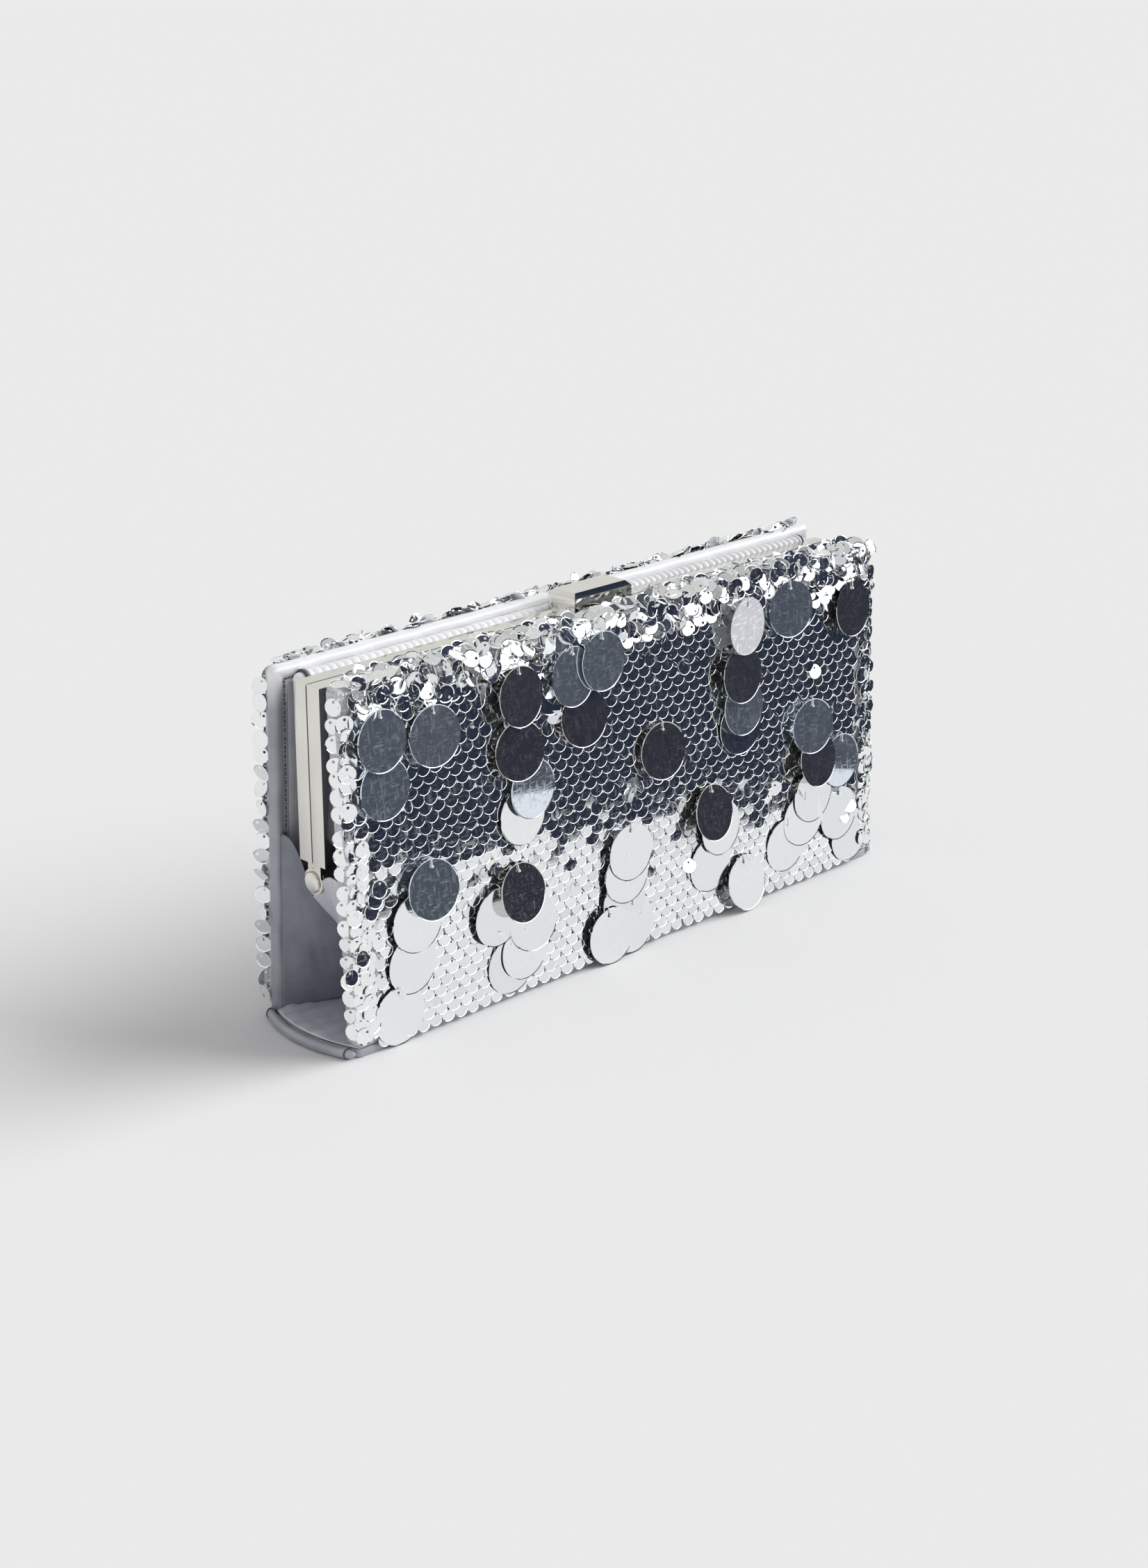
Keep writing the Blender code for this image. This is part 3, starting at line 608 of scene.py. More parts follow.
def disc_mould(radius, sides, film, rim, lip):
    """A thin closed disc: flat face, a rim raised by lip over its last rim of radius, an edge and a flat back."""
    angle = np.arange(sides) * 2 * np.pi / sides
    ring = np.stack([np.cos(angle), np.sin(angle), np.zeros(sides)], axis=1)
    levels = ((radius - rim, 0.0), (radius, lip), (radius, lip - film))
    points = np.concatenate([ring * (r, r, 0) + (0, 0, z) for r, z in levels])
    first = np.arange(sides)
    walls = grid_faces(3, sides, wrap_columns=True)[:, ::-1]
    loops = np.concatenate([first, walls.ravel(), (2 * sides + first)[::-1]])
    sizes = np.concatenate([[sides], np.full(len(walls), 4), [sides]])
    return points, loops, sizes


def holed_mould(radius, sides, film, rim, lip, hole, hang):
    """The same disc with a round thread hole, its centre hang above the middle: rings from hole to rim and back."""
    angle = np.arange(sides) * 2 * np.pi / sides
    ring = np.stack([np.cos(angle), np.sin(angle), np.zeros(sides)], axis=1)
    hole_ring = ring * (hole, hole, 0) + (0, hang, 0)
    face_ring = ring * (radius - rim, radius - rim, 0)
    middle = (hole_ring + 2 * face_ring) / 3
    outer = ring * (radius, radius, 0)
    back = (0, 0, -film)
    rings = [hole_ring, middle, face_ring, outer + (0, 0, lip), outer + back, hole_ring + back]
    walls = grid_faces(len(rings), sides, wrap_rows=True, wrap_columns=True)[:, ::-1]
    return np.concatenate(rings), walls.ravel(), np.full(len(walls), 4)


SCALE_MOULD = disc_mould(SCALE_RADIUS, 18, FILM, 0.17 * MM, 0.062 * MM)
HOLE_MOULD = disc_mould(0.42 * MM, 7, 0.03 * MM, 0.05 * MM, 0.0)
LOOSE_MOULD = holed_mould(SEQUIN_RADIUS, 14, FILM, 0.32 * MM, 0.12 * MM, 0.5 * MM, 1.7 * MM)
print("scale mould", len(SCALE_MOULD[2]), "faces; loose mould", len(LOOSE_MOULD[2]), "faces")


# %% Turning discs and casting them
def unit(vectors):
    """The same directions, each with length 1."""
    return vectors / np.linalg.norm(vectors, axis=-1, keepdims=True)


def disc_axes(outward, upward, tilt, turn, spin):
    """Right, up and outward of each disc. tilt swings its foot outwards, turn faces it right, spin rolls it."""
    out = unit(outward)
    side = unit(np.cross(upward, out))
    up = np.cross(out, side)
    tilt, turn, spin = (np.asarray(a, float)[..., None] for a in (tilt, turn, spin))
    out, up = out * np.cos(tilt) + up * np.sin(tilt), up * np.cos(tilt) - out * np.sin(tilt)
    out, side = out * np.cos(turn) + side * np.sin(turn), side * np.cos(turn) - out * np.sin(turn)
    side, up = side * np.cos(spin) + up * np.sin(spin), up * np.cos(spin) - side * np.sin(spin)
    return side, up, out


def cast(name, mould, centres, axes, finish, tint, scale=None):
    """Every disc at once: centre + right * x + up * y + outward * z, with the mould's faces numbered onwards."""
    points, loops, sizes = mould
    count = len(centres)
    scale = np.ones(count) if scale is None else scale
    side, up, out = (np.broadcast_to(axis, (count, 3)) for axis in axes)
    local = points[None] * scale[:, None, None]
    placed = centres[:, None] + sum(local[..., k, None] * axis[:, None] for k, axis in enumerate((side, up, out)))
    numbers = loops[None] + (np.arange(count) * len(points))[:, None]
    tints = np.repeat(tint, len(points))
    return piece(name, placed, numbers, np.tile(sizes, count), finish, False, None, tints)


# %% The scale fields, front and back
PITCH = 5.3 * MM
ROW = 3.25 * MM
FIELD_SIDE = 7.5 * MM
FIELD_TOP = 11.0 * MM
FIELD_FOOT = 0.3 * MM
SCALE_HOLE = 1.25 * MM
SCALE_TILT = radians(4.6)
LIFTED_TILT = radians(20)
FLIPPED_ANYWHERE = 0.018
FLIPPED_AT_LOOP = 0.45
LOOP_REACH = 3.6 * MM
BEADED_SHARE = 0.14

# Places for the field's beads, as (side, points), noted while the fields are sewn.
stitched = []


def field(side, seed, flipped_near):
    """Staggered rows of scales. A few, more of them near the thread loops, are flipped and catch the light."""
    draw = np.random.default_rng(seed)
    rows = int((PANEL_HEIGHT - FIELD_TOP - FIELD_FOOT) / ROW) + 1
    columns = int((2 * HALF - 2 * FIELD_SIDE) / PITCH)
    row, column = np.meshgrid(np.arange(rows), np.arange(columns), indexing="ij")
    along = (column - (columns - 1) / 2 + 0.5 * (row % 2) - 0.25) * PITCH
    up = FIELD_FOOT + row * ROW
    along = (along + draw.normal(0, 0.12 * MM, along.shape)).ravel()
    up = (up + draw.normal(0, 0.10 * MM, up.shape)).ravel()
    count = len(along)
    drift = ripples(along, up, seed + 1, 6, 0.06)
    tilt = SCALE_TILT + radians(1.0) * drift + draw.normal(0, radians(1.25), count)
    patch = smoothstep(-0.25, 0.35, ripples(along, up * 0.5, seed + 7, 5, 0.11))
    tilt = tilt + LIFTED_TILT * (smoothstep(PANEL_HEIGHT - 24 * MM, PANEL_HEIGHT - 12 * MM, up) * patch)
    turn = draw.normal(0, radians(1.5), count) + radians(1.5) * ripples(along, up, seed + 2, 6, 0.05)
    chance = np.full(count, FLIPPED_ANYWHERE)
    for x, z in flipped_near:
        chance += FLIPPED_AT_LOOP * np.exp(-((along - x) ** 2 + (up - z) ** 2) / LOOP_REACH ** 2)
    flipped = draw.random(count) < chance
    tilt = np.where(flipped, draw.uniform(radians(-22), radians(26), count), tilt)
    turn = np.where(flipped, draw.normal(0, radians(14), count), turn)
    out = 0.30 * MM + SEQUIN_RADIUS * np.abs(np.sin(tilt)) + 0.25 * MM * flipped
    slope, outward = panel_axes(side)[2:]
    centres = on_panel(side, along, up, out)
    axes = disc_axes(np.broadcast_to(outward, centres.shape), slope, tilt, turn, draw.normal(0, 0.1, count))
    tint = np.clip(0.45 + draw.normal(0, 0.22, count), 0, 1)
    size = draw.uniform(0.97, 1.03, count)
    holes_at = centres + SCALE_HOLE * axes[1] + 0.035 * MM * axes[2]
    # The thread hole of each scale, as a dark disc: the hole is real, and its dark is painted shade where the scales
    # meet.
    dots = cast(side + "_scale_hole_shade", HOLE_MOULD, holes_at, axes, DARK_THREAD_AND_SHADE, np.ones(count))
    settle(dots, side + "_panel")
    beaded = draw.random(count) < BEADED_SHARE
    stitched.append((side, (centres + 1.5 * MM * axes[1] + 0.35 * MM * axes[2])[beaded]))
    for tag, chosen in (("left", along < 0), ("right", along >= 0)):
        made = cast(
            "%s_scales_%s" % (side, tag), SCALE_MOULD, centres[chosen],
            [axis[chosen] for axis in axes], SEQUIN, tint[chosen], size[chosen],
        )
        settle(made, side + "_panel")
        print(made.name, int(chosen.sum()), "sequins")


# %% [markdown]
# ## Where the paillettes hang
# They hang in short cascades, each a disc of 20 mm. Twenty-four of them swing in the imported model; the others lie
# closer to the scales and move with the panel. Their places are given as shares of the bag's half length
# and of its height, so they stay in place if the bag grows.

# %% Paillette places
# Share of the half length and share of the height.
SWINGING = (
    (-0.89, 0.85), (-0.88, 0.72), (-0.715, 0.82),
    (-0.75, 0.41), (-0.80, 0.33),
    (-0.43, 0.86), (-0.43, 0.71), (-0.39, 0.59), (-0.45, 0.31),
    (-0.235, 0.87), (-0.13, 0.89), (-0.195, 0.745),
    (-0.035, 0.31), (-0.05, 0.245), (0.10, 0.575), (0.29, 0.34),
    (0.44, 0.865), (0.415, 0.725), (0.425, 0.625), (0.61, 0.88), (0.895, 0.82),
    (0.71, 0.50), (0.735, 0.39), (0.85, 0.355),
)
# Share of the half length, share of the height, tilt and turn in degrees.
STILL = (
    (-0.30, 0.86, 4, 2), (-0.415, 0.52, 1, 3), (0.67, 0.885, 5, 4), (0.415, 0.565, 4, -2),
    (0.73, 0.275, -1, 2), (0.845, 0.185, 0, 3), (0.69, 0.21, -1, -3), (0.62, 0.145, -3, 0),
    (0.895, 0.10, -2, 3), (0.335, 0.28, 3, 5), (0.295, 0.175, -2, 0), (-0.52, 0.26, -2, 4),
    (-0.405, 0.21, 5, -4), (-0.43, 0.135, 1, 2), (-0.48, 0.105, -2, 0), (-0.055, 0.165, -2, 2),
    (-0.025, 0.085, 1, 2), (-0.125, 0.082, 1, -2), (-0.82, 0.215, -2, 3), (-0.87, 0.085, -3, 0),
)
PAILLETTE_RADIUS = 10.0 * MM
HANG = 7.8 * MM
STANDOFF = 2.6 * MM
LAYER = 0.6 * MM
STILL_OUT = 1.45 * MM
STILL_LAYER = 0.32 * MM
LOW_OUT = 2.2 * MM


def hole_of(share_along, share_up):
    """The thread hole of a disc, in panel coordinates: its centre's place, moved up by the hang."""
    return share_along * HALF, share_up * TOP - HINGE[2] + HANG


holes = [hole_of(*place) for place in SWINGING] + [hole_of(*place[:2]) for place in STILL]
field("front", 11, holes)
back_draw = np.random.default_rng(5)
BACK_HOLES = [
    (x * HALF, z * TOP) for x, z in zip(back_draw.uniform(-0.85, 0.85, 16), np.tile((0.9, 0.72, 0.5, 0.34), 4))
]
field("back", 12, BACK_HOLES)


# %% [markdown]
# ## Loose sequins on the edges
# The field stops short of the panel's edges. There the sequins are sewn one by one: a single file down each side, and
# a ragged band over the top. They face every way, so some flash white and some stay dark.

# %% Loose sequins
def loose(name, body, centres, outward, upward, seed, tilt, turn, roll=3.0, least_tint=0.35):
    """Sequins at given places, each swung at random about the direction that the cloth faces there.

    tilt and turn are (mean, spread) in degrees.
    """
    draw = np.random.default_rng(seed)
    count = len(centres)
    axes = disc_axes(
        np.broadcast_to(outward, (count, 3)), upward, draw.normal(radians(tilt[0]), radians(tilt[1]), count),
        draw.normal(radians(turn[0]), radians(turn[1]), count), draw.uniform(-roll, roll, count),
    )
    tint = draw.uniform(least_tint, 1.0, count)
    made = cast(name, LOOSE_MOULD, centres, axes, SEQUIN, tint, draw.uniform(0.92, 1.05, count))
    settle(made, body)
    print(made.name, count, "sequins")


def band(draw, low, high, step, rows_at, jitter):
    """Places in rows along the bag: one per step, pushed about by jitter."""
    steps = int((high - low) / step)
    base = low + (np.arange(steps) + 0.5) * step
    along = np.concatenate([base + 0.5 * step * (k % 2) for k in range(len(rows_at))])
    across = np.repeat(rows_at, steps)
    return along + draw.normal(0, jitter, along.shape), across + draw.normal(0, jitter, across.shape)


# Side files: out from the panel's edge and from its face in mm, lean to the face, then tilt and turn.
FILES = {"front": (0.3, -1.7, 0.55, (-2, 8), (4, 15)), "back": (1.3, 0.1, -0.15, (4, 17), (8, 24))}
TOP_BAND_ROWS = (9.6, 6.8, 4.2, 1.8)
# Inset from the edge in mm and step in mm of the two rows beside each file.
BORDERS = ((1.8, 3.9), (5.0, 3.6))


def edge_sequins(side, seed):
    """All the loose sequins of one panel: face band at the top, top edge, side files and the strips beside them."""
    draw = np.random.default_rng(seed)
    right_way, slope, outward = panel_axes(side)[1:]
    body = side + "_panel"
    rows_at = PANEL_HEIGHT - np.array(TOP_BAND_ROWS) * MM
    along, up = band(draw, -HALF + 3 * MM, HALF - 3 * MM, 5.0 * MM, rows_at, 0.7 * MM)
    out = 0.9 * MM + draw.uniform(0, 0.9 * MM, along.shape)
    places = on_panel(side, along, up, out)
    loose(side + "_top_band_sequins", body, places, outward, slope, seed + 1, (17, 15), (0, 15))
    deep, line_count = (PANEL_THICK, 3) if side == "front" else (CLOTH_WRAP, 2)
    lines = np.linspace(-0.4 * MM, -deep + 1.0 * MM, line_count)
    along, out = band(draw, -HALF + 2 * MM, HALF - 3 * MM, 5.4 * MM, lines, 0.7 * MM)
    up = PANEL_HEIGHT + draw.uniform(0.3 * MM, 1.1 * MM, along.shape)
    places = on_panel(side, along, up, out)
    loose(side + "_top_edge_sequins", body, places, slope + 0.45 * outward, slope, seed + 2, (0, 24), (0, 22))
    past_edge, past_face, lean, tilt, turn = FILES[side]
    for tag, end in ENDS:
        way = end * (1 if side == "front" else -1)
        sideways = way * right_way
        up = np.arange(4.5 * MM, PANEL_HEIGHT - 3 * MM, 5.9 * MM)
        up = up + draw.normal(0, 0.5 * MM, up.shape)
        depth = past_face * MM + draw.normal(0, 0.25 * MM, up.shape)
        places = on_panel(side, way * (HALF + past_edge * MM), up, depth)
        towards = sideways + lean * outward
        loose("%s_side_file_%s" % (side, tag), body, places, towards, slope, seed + 3 + end, tilt, turn, 1.2, 0.5)
        for number, (inward, step) in enumerate(BORDERS):
            up = np.arange(4.0 * MM, PANEL_HEIGHT - 9 * MM, step * MM)
            up = up + draw.normal(0, 0.5 * MM, up.shape)
            x = way * (HALF - inward * MM) + draw.normal(0, 0.5 * MM, up.shape)
            out = (0.7 + 0.3 * number) * MM + draw.uniform(0, 0.4 * MM, up.shape)
            name = "%s_border_%s_%d" % (side, tag, number + 1)
            towards = outward + 0.25 * (1 - number) * sideways
            leaning = (-4 + 3 * number, 5)
            places = on_panel(side, x, up, out)
            loose(name, body, places, towards, slope, seed + 9 + end + number, leaning, (0, 6), 0.5, 0.6)


edge_sequins("front", 40)
edge_sequins("back", 60)

# %% A few strays near the left edge, tipped up enough to mirror the dark
# Share of the half length and share of the height.
STRAYS = np.array(((-1.02, 0.243), (-0.981, 0.283), (-0.915, 0.455), (-0.945, 0.40), (-0.93, 0.43)))
STRAY_OUT = 2.0 * MM
stray_places = on_panel("front", STRAYS[:, 0] * HALF, STRAYS[:, 1] * TOP - HINGE[2], STRAY_OUT)
slope, outward = panel_axes("front")[2:]
loose("front_stray_sequins", "front_panel", stray_places, outward, slope, 87, (10, 1), (0, 2), 0.3)


# %% [markdown]
# ## Beads along the seams
# A row of tiny glass beads covers the seam under the frame, and another runs down each side between the file and the
# field. A bead is a small ball; all of a row are cast together, like the sequins.

# %% Beads
def ball_mould(radius, around=8, steps=5):
    """A ball: rings at equal angles from pole to pole, with one point at each pole."""
    polar = np.linspace(0, np.pi, steps + 1)[1:-1]
    angle = np.arange(around) * 2 * np.pi / around
    ring = np.stack([
        np.outer(np.sin(polar), np.cos(angle)), np.outer(np.sin(polar), np.sin(angle)),
        np.outer(np.cos(polar), np.ones(around)),
    ], axis=2).reshape(-1, 3)
    points = radius * np.concatenate([[[0, 0, 1]], ring, [[0, 0, -1]]])
    first, following = np.arange(around), np.roll(np.arange(around), -1)
    last = len(points) - 1
    top = np.stack([np.zeros(around, int), 1 + first, 1 + following], axis=1)
    foot = np.stack([np.full(around, last), last - around + following, last - around + first], axis=1)
    middle = 1 + grid_faces(steps - 1, around, wrap_columns=True)[:, ::-1]
    loops = np.concatenate([top.ravel(), foot.ravel(), middle.ravel()])
    return points, loops, np.concatenate([np.full(2 * around, 3), np.full(len(middle), 4)])


BEAD_RADIUS = 0.48 * MM
BEAD_MOULD = ball_mould(BEAD_RADIUS)


def beads(name, body, centres, seed):
    """Beads at given places, sizes a little uneven."""
    draw = np.random.default_rng(seed)
    tint = draw.random(len(centres))
    made = cast(name, BEAD_MOULD, centres, np.eye(3)[:, None], BEAD, tint, draw.uniform(0.8, 1.15, len(centres)))
    made.data.shade_smooth()
    settle(made, body)


def bead_rows(side, seed):
    """One wavering row under the top edge, and one down each side just inside the corner."""
    draw = np.random.default_rng(seed)
    along = np.arange(-HALF + 2 * MM, HALF - 2 * MM, 1.35 * MM)
    up = PANEL_HEIGHT - 1.2 * MM + 0.35 * MM * ripples(along, 0 * along, seed, 5, 0.03)
    row = on_panel(side, along, up, 0.35 * MM)
    climb = np.arange(3 * MM, PANEL_HEIGHT - 3 * MM, 1.9 * MM)
    climb = climb + draw.normal(0, 0.3 * MM, climb.shape)
    files = [on_panel(side, end * (HALF - 0.5 * MM), climb, -0.1 * MM) for end in (-1, 1)]
    beads(side + "_seam_beads", side + "_panel", np.concatenate([row, *files]), seed)


bead_rows("front", 71)
bead_rows("back", 72)
for side, places in stitched:
    beads(side + "_field_beads", side + "_panel", places, 73)
print("beads sewn")


# %% [markdown]
# ## Paillettes on their loops
# A paillette is thin stiff film, flat enough to mirror a straight edge as a straight edge, with a turned rim that
# always catches a little light. Each hangs by a loop of thread that comes over its top edge, down its face and
# through the hole, where a small bead stops it. The loop is sewn to the cloth, so it stays when the disc swings.

# %% Paillettes
PAILLETTE_MOULD = holed_mould(PAILLETTE_RADIUS, 48, 0.22 * MM, 0.28 * MM, 0.08 * MM, 0.8 * MM, HANG)


def layers_of(places, reach):
    """Each disc hangs in front of every lower one that it could touch."""
    done = {}
    for this in sorted(places, key=lambda place: (place[1], place[0])):
        below = [done[other] for other in done if np.hypot(this[0] - other[0], this[1] - other[1]) < reach]
        done[this] = 1 + max(below) if below else 0
    return done


SWING = radians(12)
swing_reach = 2 * PAILLETTE_RADIUS + 2 * HANG * sin(SWING) + 0.3 * MM
swing_layers = layers_of([(x * HALF, z * TOP) for x, z in SWINGING], swing_reach)
still_layers = layers_of([(x * HALF, z * TOP) for x, z, *_ in STILL], 2 * PAILLETTE_RADIUS)
# Where the thread loops go, as (side, hole, axes), noted while the discs are hung.
loops_at = []


def hang_disc(name, side, hole, out, tilt, turn, spin, tint, finish):
    """One paillette, turned about its thread hole by angles in radians, and a note of where its loop goes."""
    slope, outward = panel_axes(side)[2:]
    axes = disc_axes(outward[None], slope, [tilt], [turn], [spin])
    at = on_panel(side, hole[0], hole[1], out)
    loops_at.append((side, at, axes))
    return cast(name, PAILLETTE_MOULD, at - HANG * axes[1], axes, finish, np.array([tint]))


# One tilt and one turn in degrees for each that swings, then the numbers of those with a film of their own.
TILTS = (4, 5, 6, 14, 1, 9, 8, 1.6, 20, 8, 5, 9, 0, 0.5, 9, 19, 1, 8, 6, 5, 8, 6, 13, 0)
TURNS = (3, 2, -3, -2, 0, 5, -4, 3, 4, 4, 3, -2, 0, 0, -3, 6, 8, 3, 2, -6, 5, -3, 4, 2)
SMOKED_ONES = (6, 7, 9, 12, 15, 16, 18, 21, 23)
CLEAN_ONES = (5, 13, 14)
FINISHES = {**dict.fromkeys(SMOKED_ONES, SMOKED), **dict.fromkeys(CLEAN_ONES, CLEAN), 17: SCUFFED}
draw = np.random.default_rng(21)
for number, (place, tilt, turn) in enumerate(zip(SWINGING, TILTS, TURNS), 1):
    node = "paillette_%02d" % number
    out = STANDOFF + swing_layers[(place[0] * HALF, place[1] * TOP)] * LAYER
    disc = hang_disc(
        "hung_" + node, "front", hole_of(*place), out, radians(0.55 * tilt), radians(turn),
        draw.normal(0, 0.04), draw.uniform(0.1, 0.7), FINISHES.get(number, PAILLETTE),
    )
    settle(disc, node, node)
for number, (x, z, tilt, turn) in enumerate(STILL, 1):
    # Only the lowest one, which comes down past the panel's foot, hangs further out.
    low_out = LOW_OUT * smoothstep(0.0830, 0.0815, z)
    out = STILL_OUT + still_layers[(x * HALF, z * TOP)] * STILL_LAYER + low_out
    disc = hang_disc(
        "still_paillette_%02d" % number, "front", hole_of(x, z), out, radians(0.5 * tilt), radians(0.6 * turn),
        draw.normal(0, 0.1), draw.uniform(0.0, 0.6), CLEAN,
    )
    settle(disc, "front_panel")
for number, hole in enumerate(BACK_HOLES, 1):
    out = STILL_OUT + 0.4 * MM * (number % 4)
    disc = hang_disc(
        "back_paillette_%02d" % number, "back", hole, out, radians(draw.uniform(0, 5)),
        radians(draw.normal(0, 4)), draw.normal(0, 0.1), draw.uniform(0.3, 1), PAILLETTE,
    )
    settle(disc, "back_panel")
# The lowest one at the right hangs over the edge and leans out, with its foot on the table.
low_hole = (0.425 * HALF, 17.9 * MM - HINGE[2])
disc = hang_disc("low_paillette", "front", low_hole, LOW_OUT, radians(9), radians(4), 0.05, 0.5, CLEAN)
settle(disc, "front_panel")
print("paillettes", len(loops_at))


# %% Thread loops with their beads
# The path of a loop in mm, from over the disc's top edge down its face to the hole: (up, out).
LOOP_PATH = np.array(((3.0, -1.3), (2.75, 0.05), (2.2, 0.34), (1.1, 0.36), (0.35, 0.32), (0.0, 0.10), (-0.1, -0.5)))
LOOP_RADIUS = 0.20 * MM


def loop_tubes(side):
    """Tubes over the discs' top edges: each ring is path point + radius * (cos * right + sin * across the path)."""
    chosen = [(at, axes) for where, at, axes in loops_at if where == side]
    at = np.concatenate([np.atleast_2d(a) for a, _ in chosen])
    right_way, up, out = (np.concatenate([axes[k] for _, axes in chosen]) for k in range(3))
    path = LOOP_PATH * MM
    along = unit(np.gradient(path, axis=0))
    across = np.stack([along[:, 1], -along[:, 0]], axis=1)
    angle = np.arange(6) * np.pi / 3
    local = np.stack([
        np.broadcast_to(LOOP_RADIUS * np.cos(angle), (len(path), 6)),
        path[:, 0, None] + LOOP_RADIUS * np.sin(angle) * across[:, 0, None],
        path[:, 1, None] + LOOP_RADIUS * np.sin(angle) * across[:, 1, None],
    ], axis=2).reshape(-1, 3)
    walls = grid_faces(len(path), 6, wrap_columns=True)
    ends = np.concatenate([np.arange(6)[::-1], (len(path) - 1) * 6 + np.arange(6)])
    mould = (local, np.concatenate([walls.ravel(), ends]), np.concatenate([np.full(len(walls), 4), [6, 6]]))
    made = cast(side + "_thread_loops", mould, at, (right_way, up, out), THREAD, np.ones(len(at)))
    made.data.shade_smooth()
    settle(made, side + "_panel")
    beads(side + "_loop_beads", side + "_panel", at + 0.42 * MM * out - 0.25 * MM * up, 81)
    print(made.name, len(at))


for side in SIDES:
    loop_tubes(side)


# %% [markdown]
# ## The nickel frame
# Both halves are pressed channel, polished and plated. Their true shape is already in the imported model, with flat
# facets and knife edges. A copy of each solid is welded, its flat faces are joined and its edges rolled by a
# quarter of a millimetre, because a plated edge is never sharp and the bright line along it is what reads as metal.

# %% Rolling the edges of metal parts
def rolled(node, name, finish, width, angle=25):
    """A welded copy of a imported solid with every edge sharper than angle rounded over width."""
    shape = bmesh.new()
    shape.from_mesh(frame["nodes"][node].data)
    bmesh.ops.remove_doubles(shape, verts=shape.verts, dist=0.000002)
    bmesh.ops.dissolve_limit(shape, angle_limit=radians(2), verts=shape.verts, edges=shape.edges)
    for face in shape.faces:
        face.smooth = True
    mesh = bpy.data.meshes.new(name)
    shape.to_mesh(mesh)
    shape.free()
    made = bpy.data.objects.new(name, mesh)
    bpy.context.scene.collection.objects.link(made)
    mesh.materials.append(finish)
    bevel = made.modifiers.new("rolled_edges", "BEVEL")
    bevel.width = width
    bevel.segments = 3
    bevel.limit_method = "ANGLE"
    bevel.angle_limit = radians(angle)
    bevel.harden_normals = True
    return settle(made, frame["nodes"][node]["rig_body"], node)


for node, width, finish, slot in (
    ("front_frame_channel", 0.22 * MM, NICKEL, "nickel"), ("back_frame_channel", 0.22 * MM, NICKEL, "nickel"),
    ("lock_cap", 0.20 * MM, NICKEL, "nickel"), ("lock_hinge_plate", 0.08 * MM, NICKEL, "nickel"),
    ("lock_catch", 0.08 * MM, NICKEL, "nickel"), ("lock_pin", 0.12 * MM, STEEL, "spring_steel"),
):
    made = rolled(node, node + "_plated", finish, width)
    print(made.name, len(made.data.polygons), "faces before rolling")


# %% Painted shade: a dark strip in the gap between the two halves
SHADE_STRIP_ACROSS = 0.24 * MM * np.array((-1, 1, 1, -1))
SHADE_STRIP_INTO = MM * np.array((-0.6, -0.6, 0.03, 0.03))


def gap_shade_strip(name, x, y, z, flip=False):
    """Painted shade in the gap: a dark strip with four corners in its section and a section at each of its two ends.
    """
    points = np.stack(np.broadcast_arrays(x, y, z), axis=2)
    made = grid_piece(name, points, DARK_THREAD_AND_SHADE, wrap_columns=True, caps=True, smooth=False, flip=flip)
    print(settle(made, "back_frame").name)


climb = np.array((RIVET_Z + 6.5 * MM, FRAME_TOP - 0.5 * MM))[:, None]
for tag, end in ENDS:
    gap_shade_strip("gap_painted_shade_" + tag, end * (FRAME_END + SHADE_STRIP_INTO), SHADE_STRIP_ACROSS, climb, end > 0)
run = np.array((-FRAME_END + 1.0 * MM, FRAME_END - 1.0 * MM))[:, None]
gap_shade_strip("gap_painted_shade_top", run, SHADE_STRIP_ACROSS, FRAME_TOP + SHADE_STRIP_INTO)


# %% Rivets
def lathe(name, profile, centre, way, finish, around=40):
    """A turned piece about an axis along X: each (radius, along) pair of the profile becomes a ring."""
    angle = np.arange(around) * 2 * np.pi / around
    rings = np.array([
        np.stack([np.full(around, way * along), way * radius * np.sin(angle), radius * np.cos(angle)], axis=1)
        for radius, along in profile
    ])
    return grid_piece(name, rings + centre, finish, wrap_columns=True, caps=True)


HEAD = 3.5
arc = np.linspace(0, np.pi / 2, 9)
# Radius and distance along the axis in mm: the domed head, the shank and the foot riveted over inside.
RIVET_PROFILE = [(max(HEAD * s, 0.05), 0.45 + 1.1 * c) for s, c in zip(np.sin(arc), np.cos(arc))] + [
    (HEAD, 0.12), (HEAD - 0.1, 0.0), (1.2, 0.0), (1.2, -2.2), (2.1, -2.2), (2.1, -2.6), (1.8, -2.8), (0.1, -2.8),
]
for tag, end in ENDS:
    centre = np.array((end * (FRAME_END + 0.15 * MM), 0, RIVET_Z))
    made = lathe("rivet_%s_domed" % tag, np.array(RIVET_PROFILE) * MM, centre, end, NICKEL)
    print(settle(made, "back_frame", "rivet_" + tag).name)


# %% [markdown]
# ## Satin
# Everything else that shows is satin: the binding round the back panel, the folded sides, the floor, the piping and
# the soft roll behind the frame. Satin over an edge puckers at its stitches, and a sheet that hangs from two edges
# keeps long soft folds, so each piece is a smooth surface plus a small relief that fits how it is held.

